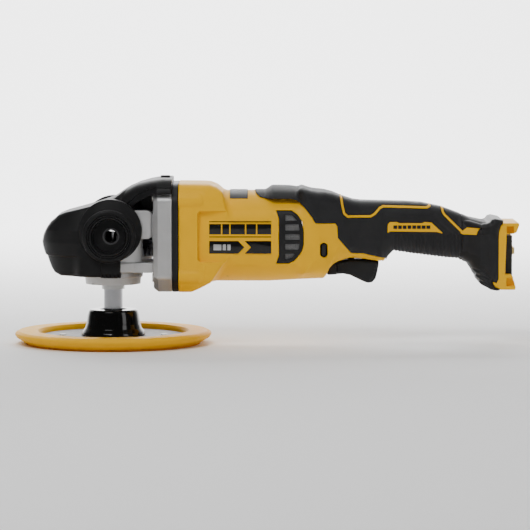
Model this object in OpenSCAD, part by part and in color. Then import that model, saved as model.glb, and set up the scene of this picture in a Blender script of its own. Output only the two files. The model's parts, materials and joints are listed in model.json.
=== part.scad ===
// Cordless right-angle rotary polisher: a backing pad on a geared spindle, a
// brushless motor in a round barrel, an in-line handle and a battery foot.
// Origin: where the spindle's axis meets the working face of the backing pad.
// +Z is up along the spindle, +X runs along the motor and handle to the battery.

/* [Backing pad] */
// Diameter of the backing pad
pad_d = 178; // [160:1:215]
// Height of the pad's rim above the working face
pad_t = 12; // [10:0.5:15]
// Width of the soft rim outside the plate
rim_w = 22.5; // [15:0.5:28]
// Thickness of the hook face under the pad
hook_t = 1.4; // [1:0.1:2]
// Diameter of the pad's hub at its top
hub_d = 44; // [40:1:60]
// Height of the hub's top above the working face
hub_top = 31; // [26:1:34]

/* [Spindle] */
// Diameter of the spindle
spindle_d = 17; // [14:0.5:20]
// Diameter of the threaded end that the pad screws onto
thread_d = 15.8; // [12:0.1:16]
// Outside diameter of the lower bearing
lower_bearing_d = 40; // [36:1:42]
// Width of the lower bearing
lower_bearing_w = 12; // [10:0.5:13]

/* [Gears] */
// Module of the bevel gears
bevel_m = 2.5; // [2:0.1:2.6]
// Module of the planetary gears
planet_m = 0.8; // [0.7:0.05:0.85]
// Backlash between bevel teeth
bevel_backlash = 0.3; // [0.2:0.05:0.5]
// Backlash between planetary teeth
planet_backlash = 0.16; // [0.1:0.02:0.3]

/* [Gear case] */
// Height of the motor's axis above the pad's working face
drive_z = 98; // [94:1:104]
// Radius of the gear pot
pot_r = 45; // [43:0.5:50]
// Distance from the spindle's axis to the flange
flange_x = 37; // [35:0.5:39]
// Width of the flange
flange_w = 86; // [80:1:100]
// Height of the flange
flange_h = 99.6; // [94:0.2:118]
// Diameter of the side handle's tapped holes, at the thread's root
handle_tap_d = 12; // [8:0.5:13]
// Depth of the side handle's tapped holes
handle_tap_l = 16; // [10:1:18]

/* [Motor] */
// Diameter of the rotor
rotor_d = 29; // [24:1:34]
// Diameter of the stator
stator_d = 54; // [46:1:58]
// Length of the stator's iron
stator_l = 38; // [30:1:40]
// Diameter of the rotor's shaft in its bearings
shaft_d = 8; // [7:0.5:9]
// Diameter of the cooling fan
fan_d = 66; // [56:1:70]

/* [Motor housing] */
// Diameter of the barrel
barrel_d = 83; // [78:1:100]
// Width across the barrel's flattened sides
barrel_w = 78; // [74:1:94]
// Length of the barrel, from the gear plate to the handle
barrel_l = 126; // [120:1:152]
// Wall of the housing
wall = 2.8; // [2.4:0.1:3.4]

/* [Handle] */
// Length of the handle, from the barrel to the battery foot
handle_l = 143; // [120:1:172]
// Width of the handle at its grip
handle_w = 40; // [36:1:48]
// Thickness of the soft overmould
grip_t = 1.4; // [1:0.1:2]
// Angle that the trigger turns through when pulled
trigger_pull = 8; // [5:0.5:8]

/* [Battery foot] */
// Width of the battery foot
foot_w = 76; // [68:1:92]
// Gap between the battery rails
rail_gap = 46; // [40:1:50]
// Depth of the battery channel, from its floor to the back of the rails' lips
rail_depth = 6.7; // [6:0.1:9]

/* [Hidden] */
$fn = 48;

// Clearances
run = 0.05;      // running fit, on the radius
gap = 0.3;       // between moving pieces that only pass each other
eps = 0.01;      // overshoot of a cut past a face

// Heights along the spindle
plate_t = 2;
plate_z = 5;
cap_z = 54.3;
cap_top = 62;
cap_d = 51.4;
pot_z = 67;
nose_x = 26;
shelf_z = cap_top + lower_bearing_w + 1.5;

// Bevel gears: the pitch cones meet on the spindle's axis at the height of the drive
gear_n = 30;
pinion_n = 10;
gear_r = bevel_m * gear_n / 2;
pinion_r = bevel_m * pinion_n / 2;
cone_r = sqrt(gear_r * gear_r + pinion_r * pinion_r);
gear_cone = atan(gear_r / pinion_r);
gear_face = 10;
gear_addendum = 0.8 * bevel_m;
gear_dedendum = 1.1 * bevel_m;
gear_bottom = shelf_z + 1;
gear_toe = cone_r - gear_face;
gear_top = drive_z - gear_toe * cos(gear_cone) + gear_addendum;

// Side handle's tapped bosses
handle_z = drive_z + 1.5;
handle_face = pot_r - 5;
insert_r = handle_tap_d / 2 + 1.5;
recess_r = 15.8;

// Planetary gears
sun_n = 15;
planet_n = 15;
ring_n = 45;
carrier_r = planet_m * (sun_n + planet_n) / 2;
ring_r = planet_m * ring_n / 2 + 5;
planet_angles = [0, 120, 240];

// Stations along the drive
bearing_w = 6;
pinion_bearing_d = 24;
pinion_shaft_d = 12;
pinion_bearing_x = gear_r + 1.2;
disc_x = pinion_bearing_x + bearing_w + 0.6;
disc_t = 4.6;
disc_r = carrier_r + 5.5;
planet_x = disc_x + disc_t + 0.6;
planet_w = 8;
flange_t = 16.5;
plate_x = flange_x + flange_t;
plate_w = 6.5;
barrel_x = plate_x + plate_w;
front_bearing_x = planet_x + planet_w + 3.5;
rotor_bearing_d = 22;
rotor_bearing_w = 7;
rotor_d_mid = shaft_d + 2;
fan_x = front_bearing_x + rotor_bearing_w + 3.5;
fan_w = 10;
baffle_x = fan_x + fan_w + 1;
stator_x = baffle_x + 7;
coil_over = 4;
yoke_t = 3.6;
board_x = stator_x + stator_l + coil_over + 1.5;
board_t = 1.6;
rear_bearing_x = stator_x + stator_l + 12;
lock_x = disc_x + disc_t / 2;
lock_travel = 2.5;
lock_pin_r = 2.2;

// Barrel and handle
barrel_r = barrel_d / 2;
barrel_half = barrel_w / 2;
handle_x = barrel_x + barrel_l;
foot_x = handle_x + handle_l;
panel_depth = 0.6;
badge_t = 0.5;
screen_x = handle_x - 26.5;
screen_t = 0.8;

// Cross-sections of the handle: [share of its length, top, bottom, half width],
// heights from the drive's axis
handle_half = handle_w / 2;
sections = [
  [0.00, barrel_r + 1.5, -barrel_r, barrel_half],
  [0.07, barrel_r - 0.5, -barrel_r + 12, barrel_half - 3],
  [0.15, 36.5, -22, (barrel_half + handle_half) / 2 + 2],
  [0.25, 32.5, -22, handle_half + 5],
  [0.37, 31.5, -22, handle_half + 1.5],
  [0.44, 31.2, -15.5, handle_half],
  [0.60, 30.2, -17, handle_half],
  [0.74, 27.5, -19, handle_half],
  [0.87, 20.5, -20.5, handle_half + 0.5],
  [0.94, 16.5, -25, handle_half + 4],
  [1.00, 15, -38, foot_w / 2 - 5]];

// Battery foot, heights above the working face
foot_top = 114;
foot_bottom = 48.5;
foot_l = 18;
receptacle_x = foot_x + foot_l;
rail_x = receptacle_x + 9.3;
rail_mid = 85;
rail_lip_t = 3.8;
rail_lip_h = 10;
terminal_half = 22;

// Fasteners
case_screw_y = flange_w / 2 - 13;
case_screw_z = flange_h / 2 - 13.8;
screw_r = 2;
boss_r = 4.2;
clam_screws = [
  [barrel_x + 38, drive_z + barrel_r - 8], [barrel_x + 44, drive_z - barrel_r + 8],
  [barrel_x + 90, drive_z + barrel_r - 8], [barrel_x + 116, drive_z - barrel_r + 8.5],
  [handle_x + 0.185 * handle_l, drive_z + 26.5], [handle_x + 0.42 * handle_l, drive_z + 24.5],
  [handle_x + 0.53 * handle_l, drive_z - 11], [handle_x + 0.91 * handle_l, drive_z + 10],
  [handle_x + 0.985 * handle_l, foot_bottom + 22]];

// Trigger, switch and controller
trigger_x = handle_x + 11;
trigger_z = drive_z - 29;
trigger_half = 11;
pin_r = 2;
plunger_x = trigger_x + 31;
plunger_r = 3;
switch_z = drive_z - 10;
switch_l = 30;
controller_x = handle_x + 0.46 * handle_l;
controller_l = 0.32 * handle_l;
lead_z = drive_z + 18;
lead_r = 1.5;

// Speed dial
dial_r = 6;
dial_x = barrel_x + 54;
dial_z = drive_z + barrel_r - dial_r;
dial_half = 4;
bezel_w = 16;

// Lock-on button
lock_on_x = handle_x + 4;
lock_on_z = drive_z - 11;
lock_on_travel = 3;

// --- Helpers ---

// Local x to +Y, local y to +Z and local z to +X, from the drive's axis
module on_drive(x = 0) { translate([x, 0, drive_z]) rotate([90, 0, 90]) children(); }

// A cylinder along X on the drive's axis
module drive_rod(x, l, r) { on_drive(x) cylinder(h = l, r = r); }

// A tube along X on the drive's axis
module drive_tube(x, l, r_out, r_in) {
  difference() {
    drive_rod(x, l, r_out);
    drive_rod(x - 1, l + 2, r_in);
  }
}

// A tube along the spindle
module spindle_tube(z, l, r_out, r_in) {
  translate([0, 0, z]) difference() {
    cylinder(h = l, r = r_out);
    translate([0, 0, -1]) cylinder(h = l + 2, r = r_in);
  }
}

// A cylinder along +Y from y0
module across(x, y0, z, l, r) {
  translate([x, y0, z]) rotate([-90, 0, 0]) cylinder(h = l, r = r);
}

// An outline in X and Z, extruded evenly to both sides of Y = 0
module side_prism(half, points) {
  translate([0, half, 0]) rotate([90, 0, 0]) linear_extrude(2 * half) polygon(points);
}

// A rectangle with round corners, centred
module round_rect(w, h, r) {
  square([w - 2 * r, h], center = true);
  square([w, h - 2 * r], center = true);
  for (sx = [-1, 1], sy = [-1, 1])
    translate([sx * (w / 2 - r), sy * (h / 2 - r)]) circle(r);
}

// Everything on one side of Y = 0, side being -1 or 1
module one_side(side) {
  intersection() {
    children();
    translate([-100, side < 0 ? -100 : 0, -10]) cube([600, 100, 250]);
  }
}

module both_sides() {
  children();
  mirror([0, 1, 0]) children();
}

// Rings of points joined into a closed solid, ends capped
module loft(rings) {
  n = len(rings[0]);
  last = (len(rings) - 1) * n;
  polyhedron(
    [for (ring = rings) each ring],
    concat(
      [[for (j = [0:n - 1]) j]],
      [for (i = [0:len(rings) - 2], j = [0:n - 1])
        [i * n + j, (i + 1) * n + j, (i + 1) * n + (j + 1) % n, i * n + (j + 1) % n]],
      [[for (j = [n - 1:-1:0]) last + j]]));
}

function signed_power(v, p) = sign(v) * pow(abs(v), p);

// A superellipse ring across X, g larger all round
function handle_ring(x, top, bottom, half, g, n = 24, p = 0.72) = [
  for (i = [0:n - 1]) let (
    a = (i + 0.5) * 360 / n,
    rise = (top - bottom) / 2 + g)
  [x, (half + g) * signed_power(cos(a), p),
    drive_z + (top + bottom) / 2 + rise * signed_power(sin(a), p)]];

module handle_solid(g) {
  loft([for (s = sections) handle_ring(handle_x + s[0] * handle_l, s[1], s[2], s[3], g)]);
}

// Angle in degrees between an involute's start and its point at radius r
function involute(r, base) =
  let (a = acos(min(1, base / r))) tan(a) * 180 / PI - a;

// Half of a tooth's angle at radius r
function half_tooth(r, pitch, n, backlash) =
  let (base = pitch * cos(20))
  90 / n - backlash / 2 / pitch * 180 / PI + involute(pitch, base)
    - involute(max(r, base), base);

// A spur gear's outline with a tooth centred on angle 0
function gear_points(n, m, addendum, dedendum, backlash, steps = 3) =
  let (
    pitch = m * n / 2,
    root = pitch - dedendum,
    radii = concat([root],
      [for (i = [0:steps]) let (low = max(root + 0.05, pitch * cos(20)))
        low + (pitch + addendum - low) * i / steps]))
  [for (k = [0:n - 1]) each concat(
    [for (i = [0:len(radii) - 1]) let (
      a = k * 360 / n - half_tooth(radii[i], pitch, n, backlash))
      radii[i] * [cos(a), sin(a)]],
    [for (i = [len(radii) - 1:-1:0]) let (
      a = k * 360 / n + half_tooth(radii[i], pitch, n, backlash))
      radii[i] * [cos(a), sin(a)]])];

module planetary_spur(n, w) {
  linear_extrude(w)
    polygon(gear_points(n, planet_m, 0.85 * planet_m, 1.2 * planet_m, planet_backlash));
}

// Rings joined into a closed loop of bands about Z
module ring_of_bands(rings) {
  n = len(rings[0]);
  m = len(rings);
  polyhedron(
    [for (ring = rings) each ring],
    [for (i = [0:m - 1], j = [0:n - 1]) let (
      k = (i + 1) % m)
      [i * n + j, k * n + j, k * n + (j + 1) % n, i * n + (j + 1) % n]]);
}

// A point at distance r from the cones' apex, lift off the pitch cone
function cone_point(r, lift, azimuth) =
  let (
    radial = r * sin(gear_cone) + lift * cos(gear_cone),
    height = drive_z - r * cos(gear_cone) + lift * sin(gear_cone))
  [radial * cos(azimuth), radial * sin(azimuth), height];

// Toothed loop of the bevel gear at distance r from the apex
function bevel_loop(r) =
  let (
    scale = r / cone_r,
    half = (PI * bevel_m / 4 - bevel_backlash / 2) * scale,
    tip = gear_addendum * scale,
    root = -gear_dedendum * scale,
    at = function(lift) (half - lift * tan(20)) / (r * sin(gear_cone)) * 180 / PI)
  [for (k = [0:gear_n - 1]) let (mid = (k + 0.5) * 360 / gear_n) each [
    cone_point(r, root, mid - at(root)), cone_point(r, tip, mid - at(tip)),
    cone_point(r, tip, mid + at(tip)), cone_point(r, root, mid + at(root))]];

function plain_loop(r, z) = [
  for (p = bevel_loop(cone_r)) let (d = norm([p[0], p[1]])) [p[0] / d * r, p[1] / d * r, z]];

// --- Backing pad ---

module hook_face() {
  color("orange") cylinder(h = hook_t, r = pad_d / 2 - 10, $fn = 96);
}

module pad_rim() {
  r = pad_d / 2;
  color("gold") rotate_extrude($fn = 96) polygon([
    [12, hook_t], [r - 10, hook_t], [r - 2, pad_t - 5.5], [r, pad_t - 3],
    [r - 0.8, pad_t - 1.2], [r - 4, pad_t], [r - rim_w, pad_t],
    [r - rim_w - 1, plate_z], [12, plate_z]]);
}

module pad_plate() {
  color("dimgray") spindle_tube(plate_z, plate_t, pad_d / 2 - rim_w - 1, 12);
}

module pad_rivets() {
  color("silver") for (a = [0:60:300]) rotate(a)
    translate([pad_d / 4 + 1.5, 0, plate_z + plate_t]) cylinder(h = 1.2, r = 3);
}

module pad_hub() {
  r = hub_d / 2;
  low = plate_z + plate_t;
  color("black") rotate_extrude() polygon([
    [13, low], [r + 6.5, low], [r + 6.5, low + 2], [r + 3, low + 5], [r, low + 10],
    [r, hub_top - 2], [r - 2, hub_top], [15, hub_top], [13, hub_top - 2]]);
}

module hub_insert() {
  color("silver") spindle_tube(plate_z + plate_t, hub_top - plate_z - plate_t - 2, 13, thread_d / 2);
}

// --- Spindle and its bearings ---

module spindle() {
  r = spindle_d / 2;
  color("silver") rotate_extrude() polygon([
    [0, plate_z + plate_t + 1], [thread_d / 2, plate_z + plate_t + 1],
    [thread_d / 2, hub_top - 2], [r, hub_top - 2], [r, gear_top - 2], [6, gear_top - 2],
    [6, gear_top + 11], [0, gear_top + 11]]);
}

module bevel_gear() {
  hub_z = cap_top + lower_bearing_w + 0.1;
  color("slategray") difference() {
    union() {
      ring_of_bands([
        plain_loop(spindle_d / 2 + 4, gear_bottom), plain_loop(gear_r - 3, gear_bottom),
        plain_loop(gear_r + 0.6, gear_bottom + 4), bevel_loop(cone_r), bevel_loop(gear_toe),
        plain_loop(spindle_d / 2 + 4, gear_bottom + 5)]);
      translate([0, 0, hub_z]) cylinder(h = gear_bottom + 6 - hub_z, r = spindle_d / 2 + 5);
    }
    translate([0, 0, shelf_z - 2]) cylinder(h = 30, r = spindle_d / 2);
  }
}

module gear_nut() {
  z = gear_bottom + 6;
  color("dimgray") difference() {
    translate([0, 0, z]) cylinder(h = 3, r = spindle_d / 2 + 3.5, $fn = 6);
    translate([0, 0, z - 1]) cylinder(h = 5, r = spindle_d / 2);
  }
}

module dust_seal() {
  color("dimgray") spindle_tube(cap_z - 4.8, 4.8, 10.4, spindle_d / 2 + run);
}

module spindle_bearing_cap() {
  color("silver") difference() {
    translate([0, 0, cap_z]) cylinder(h = cap_top - cap_z, r1 = cap_d / 2 - 1, r2 = cap_d / 2);
    translate([0, 0, cap_z - 1]) cylinder(h = 20, r = spindle_d / 2 + 0.5);
    cap_screw_places() translate([0, 0, -4]) cylinder(h = 20, r = 1.6);
    cap_screw_places() translate([0, 0, -4]) cylinder(h = 4 + 1.8, r = 2.6);
  }
}

module cap_screw_places() {
  for (a = [45:90:315]) rotate(a)
    translate([lower_bearing_d / 2 + 2.9, 0, cap_z]) children();
}

module cap_screws() {
  color("gray") cap_screw_places() {
    cylinder(h = 1.8, r = 2.6);
    cylinder(h = cap_top - cap_z + 5, r = 1.6);
  }
}

module spindle_lower_bearing() {
  color("silver") spindle_tube(cap_top, lower_bearing_w, lower_bearing_d / 2, spindle_d / 2 + run);
}

module spindle_upper_bearing() {
  color("silver") spindle_tube(gear_top + 3, 8, 9, 6 + run);
}

// --- Gear case ---

module case_solid() {
  translate([0, 0, pot_z]) cylinder(h = drive_z + 10 - pot_z, r = pot_r);
  translate([-nose_x, 0, pot_z + 5]) cylinder(h = drive_z + 4 - pot_z - 5, r = pot_r - 15);
  translate([0, 0, drive_z + 10]) cylinder(h = 10, r1 = pot_r, r2 = pot_r - 12);
  translate([0, 0, cap_top]) cylinder(h = pot_z - cap_top + 1, r = cap_d / 2 + 2);
  drive_rod(5, flange_x - 5 + eps, 29);
  side_prism(15, [
    [6, drive_z + 20], [12, drive_z + 34], [28, arch_top - 8], [flange_x + 1, arch_top - 7],
    [flange_x + 1, drive_z + 20]]);
  on_drive(flange_x) linear_extrude(4 + eps) round_rect(flange_w - 5, flange_h - 5, 16);
  on_drive(flange_x + 4) linear_extrude(flange_t - 4) round_rect(flange_w, flange_h, 18);
}

module handle_recess() {
  across(0, handle_face, handle_z, 40, recess_r);
}

module gear_case() {
  color("silver") difference() {
    case_solid();
    translate([0, 0, shelf_z]) linear_extrude(gear_top + 0.8 - shelf_z) {
      circle(gear_r + 2.2);
      translate([-nose_x, 0]) circle(pot_r - 20);
    }
    translate([0, 0, cap_top - 1]) cylinder(h = lower_bearing_w + 1, r = lower_bearing_d / 2);
    translate([0, 0, cap_top]) cylinder(h = shelf_z, r = lower_bearing_d / 2 - 3);
    translate([0, 0, gear_top]) cylinder(h = 11, r = 9);
    translate([0, 0, gear_top]) cylinder(h = 13, r = 7.5);
    drive_rod(18, pinion_bearing_x - 18, pinion_r + gear_addendum + 1);
    drive_rod(18, 40, pinion_bearing_d / 2);
    drive_rod(disc_x - 0.6, 20, disc_r + 1);
    drive_rod(planet_x - 0.5, 20, ring_r);
    translate([lock_x, 0, drive_z]) cylinder(h = 80, r = lock_pin_r + run);
    translate([lock_x, 0, drive_z + flange_h / 2 - 12]) cylinder(h = 20, r = 6);
    both_sides() {
      handle_recess();
      across(0, handle_face - handle_tap_l, handle_z, 40, insert_r);
    }
    case_screw_places() translate([0, 0, -1]) cylinder(h = 40, r = screw_r + 0.3);
    case_screw_places() translate([0, 0, -10]) cylinder(h = 14, r = 4.4);
    cap_screw_places() cylinder(h = cap_top - cap_z + 5, r = 1.6);
  }
}

// Arch of the boot over the neck, and its outline from the side
arch_top = drive_z + flange_h / 2 + 4;
boot_side = [
  [-69, drive_z - 4], [-66, drive_z + 4], [-59, drive_z + 9], [-52, drive_z + 16.5],
  [-41, drive_z + 23], [-19, drive_z + 28.5], [2, drive_z + 35.5], [17, drive_z + 45],
  [24, drive_z + 48.5], [35, arch_top - 1.6], [46, arch_top], [plate_x, arch_top],
  [plate_x, drive_z + 30], [28, drive_z + 25], [26, drive_z - 32], [10, cap_top],
  [-48, cap_top], [-55, drive_z - 31], [-60, drive_z - 22], [-66, drive_z - 14]];

module gear_case_boot() {
  color([0.1, 0.1, 0.11]) difference() {
    union() {
      intersection() {
        side_prism(60, boot_side);
        linear_extrude(arch_top + 1) {
          circle(pot_r + 3.5);
          translate([-28, 0]) circle(41);
          translate([0, -20]) square([plate_x, 40]);
          translate([0, -pot_r]) square([28, 2 * pot_r]);
        }
      }
      both_sides() translate([-1, pot_r - 6, handle_z + 3]) rotate([-90, 0, 0])
        cylinder(h = 12, r1 = 27.5, r2 = 21.5);
    }
    case_solid();
    both_sides() across(0, pot_r - 8, handle_z, 40, recess_r);
    translate([0, 0, cap_top - 1]) cylinder(h = 20, r = cap_d / 2 + 2);
    translate([lock_x, 0, drive_z + 40]) cylinder(h = 30, r = 4.6);
    case_screw_places() translate([0, 0, -12]) cylinder(h = 14, r = 4.6);
  }
}

module side_handle_inserts() {
  color("gray") both_sides() difference() {
    across(0, handle_face - handle_tap_l, handle_z, handle_tap_l, insert_r);
    across(0, handle_face - handle_tap_l - 1, handle_z, handle_tap_l + 2, handle_tap_d / 2);
  }
}

module case_screw_places() {
  for (sy = [-1, 1], sz = [-1, 1])
    translate([flange_x, sy * case_screw_y, drive_z + sz * case_screw_z])
      rotate([0, 90, 0]) children();
}

module gear_case_screws() {
  color("gray") case_screw_places() {
    translate([0, 0, -0.5]) cylinder(h = 4.5, r = 4);
    cylinder(h = 42, r = screw_r);
  }
}

// --- Spindle lock ---

module spindle_lock_button() {
  tip = drive_z + disc_r + lock_travel + 0.5;
  color([0.1, 0.1, 0.11]) {
    translate([lock_x, 0, tip]) cylinder(h = arch_top - tip, r = lock_pin_r);
    translate([lock_x, 0, arch_top - 4]) cylinder(h = 6, r = 4.6 - gap);
  }
}

module lock_spring() {
  low = drive_z + flange_h / 2 - 12;
  color("silver") translate([lock_x, 0, 0])
    for (z = [low + 0.6:1.6:arch_top - 5]) translate([0, 0, z])
      rotate_extrude() translate([4.6, 0]) circle(0.5);
}

// --- Bevel pinion and planetary stage ---

module bevel_pinion() {
  toe_x = gear_toe * sin(gear_cone);
  color("slategray") {
    on_drive(toe_x) rotate(-90) mirror([0, 0, 1]) translate([0, 0, toe_x - gear_r])
      linear_extrude(gear_r - toe_x, scale = toe_x / gear_r)
        polygon(gear_points(pinion_n, bevel_m, gear_addendum, gear_dedendum, bevel_backlash, 4));
    drive_rod(gear_r - 1, pinion_bearing_x - gear_r + 1 - gap, pinion_r - gear_dedendum - 0.8);
    drive_rod(gear_r, disc_x - gear_r, pinion_shaft_d / 2);
    drive_rod(disc_x, disc_t - 1, 5);
  }
}

module pinion_bearing() {
  color("silver")
    drive_tube(pinion_bearing_x, bearing_w, pinion_bearing_d / 2, pinion_shaft_d / 2 + run);
}

module planet_places(x) {
  on_drive(x) for (a = planet_angles) rotate(a) translate([carrier_r, 0, 0]) children();
}

module planet_carrier() {
  color("slategray") difference() {
    drive_rod(disc_x, disc_t, disc_r);
    drive_rod(disc_x - 1, disc_t, 5);
    planet_places(disc_x - 1) cylinder(h = 10, r = 2.5);
    for (a = [22.5:45:337.5]) on_drive(lock_x) rotate(a) translate([disc_r - 2.2, 0, 0])
      rotate([0, 90, 0]) cylinder(h = 5, r = 1.6);
  }
}

module planet_pins() {
  color("silver") planet_places(disc_x) cylinder(h = disc_t + planet_w + 1, r = 2.5);
}

module planet_gear(k) {
  a = planet_angles[k - 1];
  color("darkgray") on_drive(planet_x) rotate(a) translate([carrier_r, 0, 0])
    difference() {
      rotate(180 + 180 / planet_n) planetary_spur(planet_n, planet_w);
      translate([0, 0, -1]) cylinder(h = planet_w + 2, r = 2.5 + run);
    }
}

module planet_gear_1() { planet_gear(1); }
module planet_gear_2() { planet_gear(2); }
module planet_gear_3() { planet_gear(3); }

module ring_gear() {
  color("dimgray") on_drive(planet_x - 0.5) difference() {
    cylinder(h = planet_w + 1.5, r = ring_r);
    translate([0, 0, -1]) linear_extrude(planet_w + 4)
      polygon(gear_points(ring_n, planet_m, 1.2 * planet_m, 0.75 * planet_m, -planet_backlash, 2));
  }
}

module gear_plate() {
  web_x = planet_x + planet_w + 1;
  color([0.12, 0.12, 0.12]) difference() {
    union() {
      on_drive(plate_x) linear_extrude(plate_w) round_rect(flange_w - 2, flange_h - 2, 17);
      drive_rod(plate_x, front_bearing_x + rotor_bearing_w - plate_x, 26);
    }
    drive_rod(plate_x - 1, web_x - plate_x + 1, ring_r);
    drive_rod(plate_x, 30, shaft_d / 2 + 2);
    drive_rod(front_bearing_x, rotor_bearing_w + 1, rotor_bearing_d / 2);
    case_screw_places() translate([0, 0, -1]) cylinder(h = 40, r = screw_r + 0.3);
  }
}

// --- Motor ---

module rotor_shaft() {
  mid_x = front_bearing_x + rotor_bearing_w + 0.5;
  mid_l = rear_bearing_x - mid_x - 0.5;
  color("silver") {
    on_drive(planet_x) planetary_spur(sun_n, planet_w);
    drive_rod(planet_x + planet_w - eps, rear_bearing_x + 7 - planet_x - planet_w, shaft_d / 2);
    drive_rod(mid_x, mid_l, rotor_d_mid / 2);
  }
}

module rotor_front_bearing() {
  color("silver")
    drive_tube(front_bearing_x, rotor_bearing_w, rotor_bearing_d / 2, shaft_d / 2 + run);
}

module rotor_rear_bearing() {
  color("silver")
    drive_tube(rear_bearing_x, rotor_bearing_w, rotor_bearing_d / 2, shaft_d / 2 + run);
}

module rotor_core() {
  color("dimgray") drive_tube(stator_x, stator_l, rotor_d / 2, rotor_d_mid / 2);
}

module cooling_fan() {
  color([0.15, 0.15, 0.15]) difference() {
    union() {
      drive_rod(fan_x, fan_w, 9);
      drive_rod(fan_x + fan_w - 1.5, 1.5, fan_d / 2);
      on_drive(fan_x) for (a = [0:30:330]) rotate(a)
        translate([8, -0.6, 0]) cube([fan_d / 2 - 8.3, 1.2, fan_w - 1]);
    }
    drive_rod(fan_x - 1, fan_w + 2, rotor_d_mid / 2);
  }
}

module air_baffle() {
  color([0.1, 0.1, 0.1]) difference() {
    on_drive(baffle_x) linear_extrude(1.6) barrel_section(-wall);
    drive_rod(baffle_x - 1, 4, stator_d / 2 - 7);
  }
}

module stator_core() {
  color("slategray") difference() {
    drive_rod(stator_x, stator_l, stator_d / 2);
    drive_rod(stator_x - 1, stator_l + 2, rotor_d / 2 + 0.5);
    for (a = [30:60:330]) on_drive(stator_x - 1) rotate(a)
      linear_extrude(stator_l + 2) polygon([
        [rotor_d / 2 - 1, -1.2], [rotor_d / 2 + 2.5, -1.2], [rotor_d / 2 + 2.5, -5],
        [stator_d / 2 - yoke_t, -8.4], [stator_d / 2 - yoke_t, 8.4], [rotor_d / 2 + 2.5, 5],
        [rotor_d / 2 + 2.5, 1.2], [rotor_d / 2 - 1, 1.2]]);
  }
}

module stator_windings() {
  low = rotor_d / 2 + 3.2;
  high = stator_d / 2 - 5;
  inner = (rotor_d / 2 + 2.5) * sin(30) - 5 * cos(30) + 0.4;
  outer = 2 * (stator_d / 2 - yoke_t - 0.5 - high * cos(30));
  color("peru") for (a = [0:60:300]) on_drive(stator_x - coil_over) rotate(a)
    difference() {
      translate([low, -outer, 0])
        cube([high - low, 2 * outer, stator_l + 2 * coil_over]);
      translate([low - 1, -inner, coil_over - 0.2])
        cube([high - low + 2, 2 * inner, stator_l + 0.4]);
    }
}

module sensor_board() {
  color("darkgreen") drive_tube(board_x, board_t, 20, rotor_d_mid / 2 + 1.5);
}

// --- Housing ---

// The barrel's cross-section, round with flattened sides, local x to the side
module barrel_section(g) {
  intersection() {
    circle(barrel_r + g);
    square([2 * (barrel_half + g), 4 * barrel_r], center = true);
  }
}

module barrel_solid(g) {
  on_drive(barrel_x) linear_extrude(barrel_l + eps) barrel_section(g);
  on_drive(barrel_x) intersection() {
    rotate_extrude() polygon([
      [0, 0], [80, 0], [80, 12], [barrel_r + g + 9, 12], [barrel_r + g, 32], [0, 32]]);
    union() {
      linear_extrude(14) round_rect(flange_w + 2 * g, flange_h + 2 * g + 0.6, 18);
      linear_extrude(40) round_rect(barrel_w + 2 * g, flange_h + 2 * g + 0.6, 18);
    }
  }
}

module foot_solid(g) {
  side_prism(foot_w / 2 + g, [
    [foot_x - 4, foot_top - 2 + g], [foot_x + 12, foot_top + g + 2],
    [receptacle_x, foot_top + g + 2], [receptacle_x, foot_bottom - g],
    [foot_x + 6, foot_bottom - g], [foot_x - 4, foot_bottom + 9]]);
}

module housing_solid() {
  barrel_solid(0);
  handle_solid(-grip_t);
  foot_solid(0);
  trigger_cheeks(trigger_half + 3.4);
}

// Lips that close the trigger in from both sides
module trigger_cheeks(half) {
  side_prism(half, [
    [trigger_x - 1, trigger_z + 9], [trigger_x + 8, trigger_z + 7.5],
    [trigger_x + 48, trigger_z + 5.5], [trigger_x + 50, trigger_z + 7],
    [trigger_x + 52, trigger_z + 16], [trigger_x - 1, trigger_z + 20]]);
}

module housing_room() {
  intersection() {
    barrel_solid(-wall);
    translate([barrel_x - 1, -60, 0]) cube([barrel_l + 1.3, 120, 200]);
  }
  handle_solid(-grip_t - wall);
  intersection() {
    foot_solid(-wall - 0.5);
    translate([foot_x - 1, -60, 0]) cube([foot_l - 2, 120, 200]);
  }
}

// Clamshell ribs and bosses inside the housing
module housing_ribs() {
  intersection() {
    union() {
      drive_tube(stator_x + 2, 3, barrel_r - 1, stator_d / 2);
      drive_tube(stator_x + stator_l - 3, 3, barrel_r - 1, stator_d / 2);
      difference() {
        union() {
          drive_tube(rear_bearing_x + 2, 3, barrel_r - 1, rotor_bearing_d / 2);
          drive_tube(rear_bearing_x, rotor_bearing_w, 14, rotor_bearing_d / 2);
        }
        for (a = [30:60:330]) on_drive(rear_bearing_x - 1) rotate(a)
          translate([20.5, 0, 0]) cylinder(h = 10, r = 4.6);
      }
    }
    barrel_solid(-1);
  }
}

module clam_places() {
  for (p = clam_screws) translate([p[0], 0, p[1]]) rotate([-90, 0, 0]) children();
}

module boss_columns() {
  intersection() {
    clam_places() translate([0, 0, -50]) cylinder(h = 100, r = boss_r);
    housing_solid();
  }
}

function screw_seat(i) = i < 4 ? 26 : 9;

module screw_holes() {
  for (i = [0:len(clam_screws) - 1]) let (p = clam_screws[i]) {
    across(p[0], -screw_seat(i) + 3, p[1], 60, screw_r);
    across(p[0], screw_seat(i), p[1], 60, 3.6);
  }
}

// Side outline of the intake shield, from its straight front edge
shield_side = [
  [0, -24], [14, -24], [22, -17], [25, -8], [25, 12], [22, 18], [16, 24], [0, 24]];

module shield_prism(inset) {
  scale_x = (25 - 2 * inset) / 25;
  scale_z = (24 - inset) / 24;
  side_prism(60, [for (p = shield_side)
    [screen_x - 12 + inset + p[0] * scale_x, drive_z + p[1] * scale_z]]);
}

module trigger_slot(half) {
  side_prism(half, [
    [trigger_x - 6, drive_z - 60], [trigger_x - 6, trigger_z + 8], [trigger_x + 2, trigger_z + 14],
    [trigger_x + 48, trigger_z + 14], [trigger_x + 48, drive_z - 60]]);
}

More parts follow.
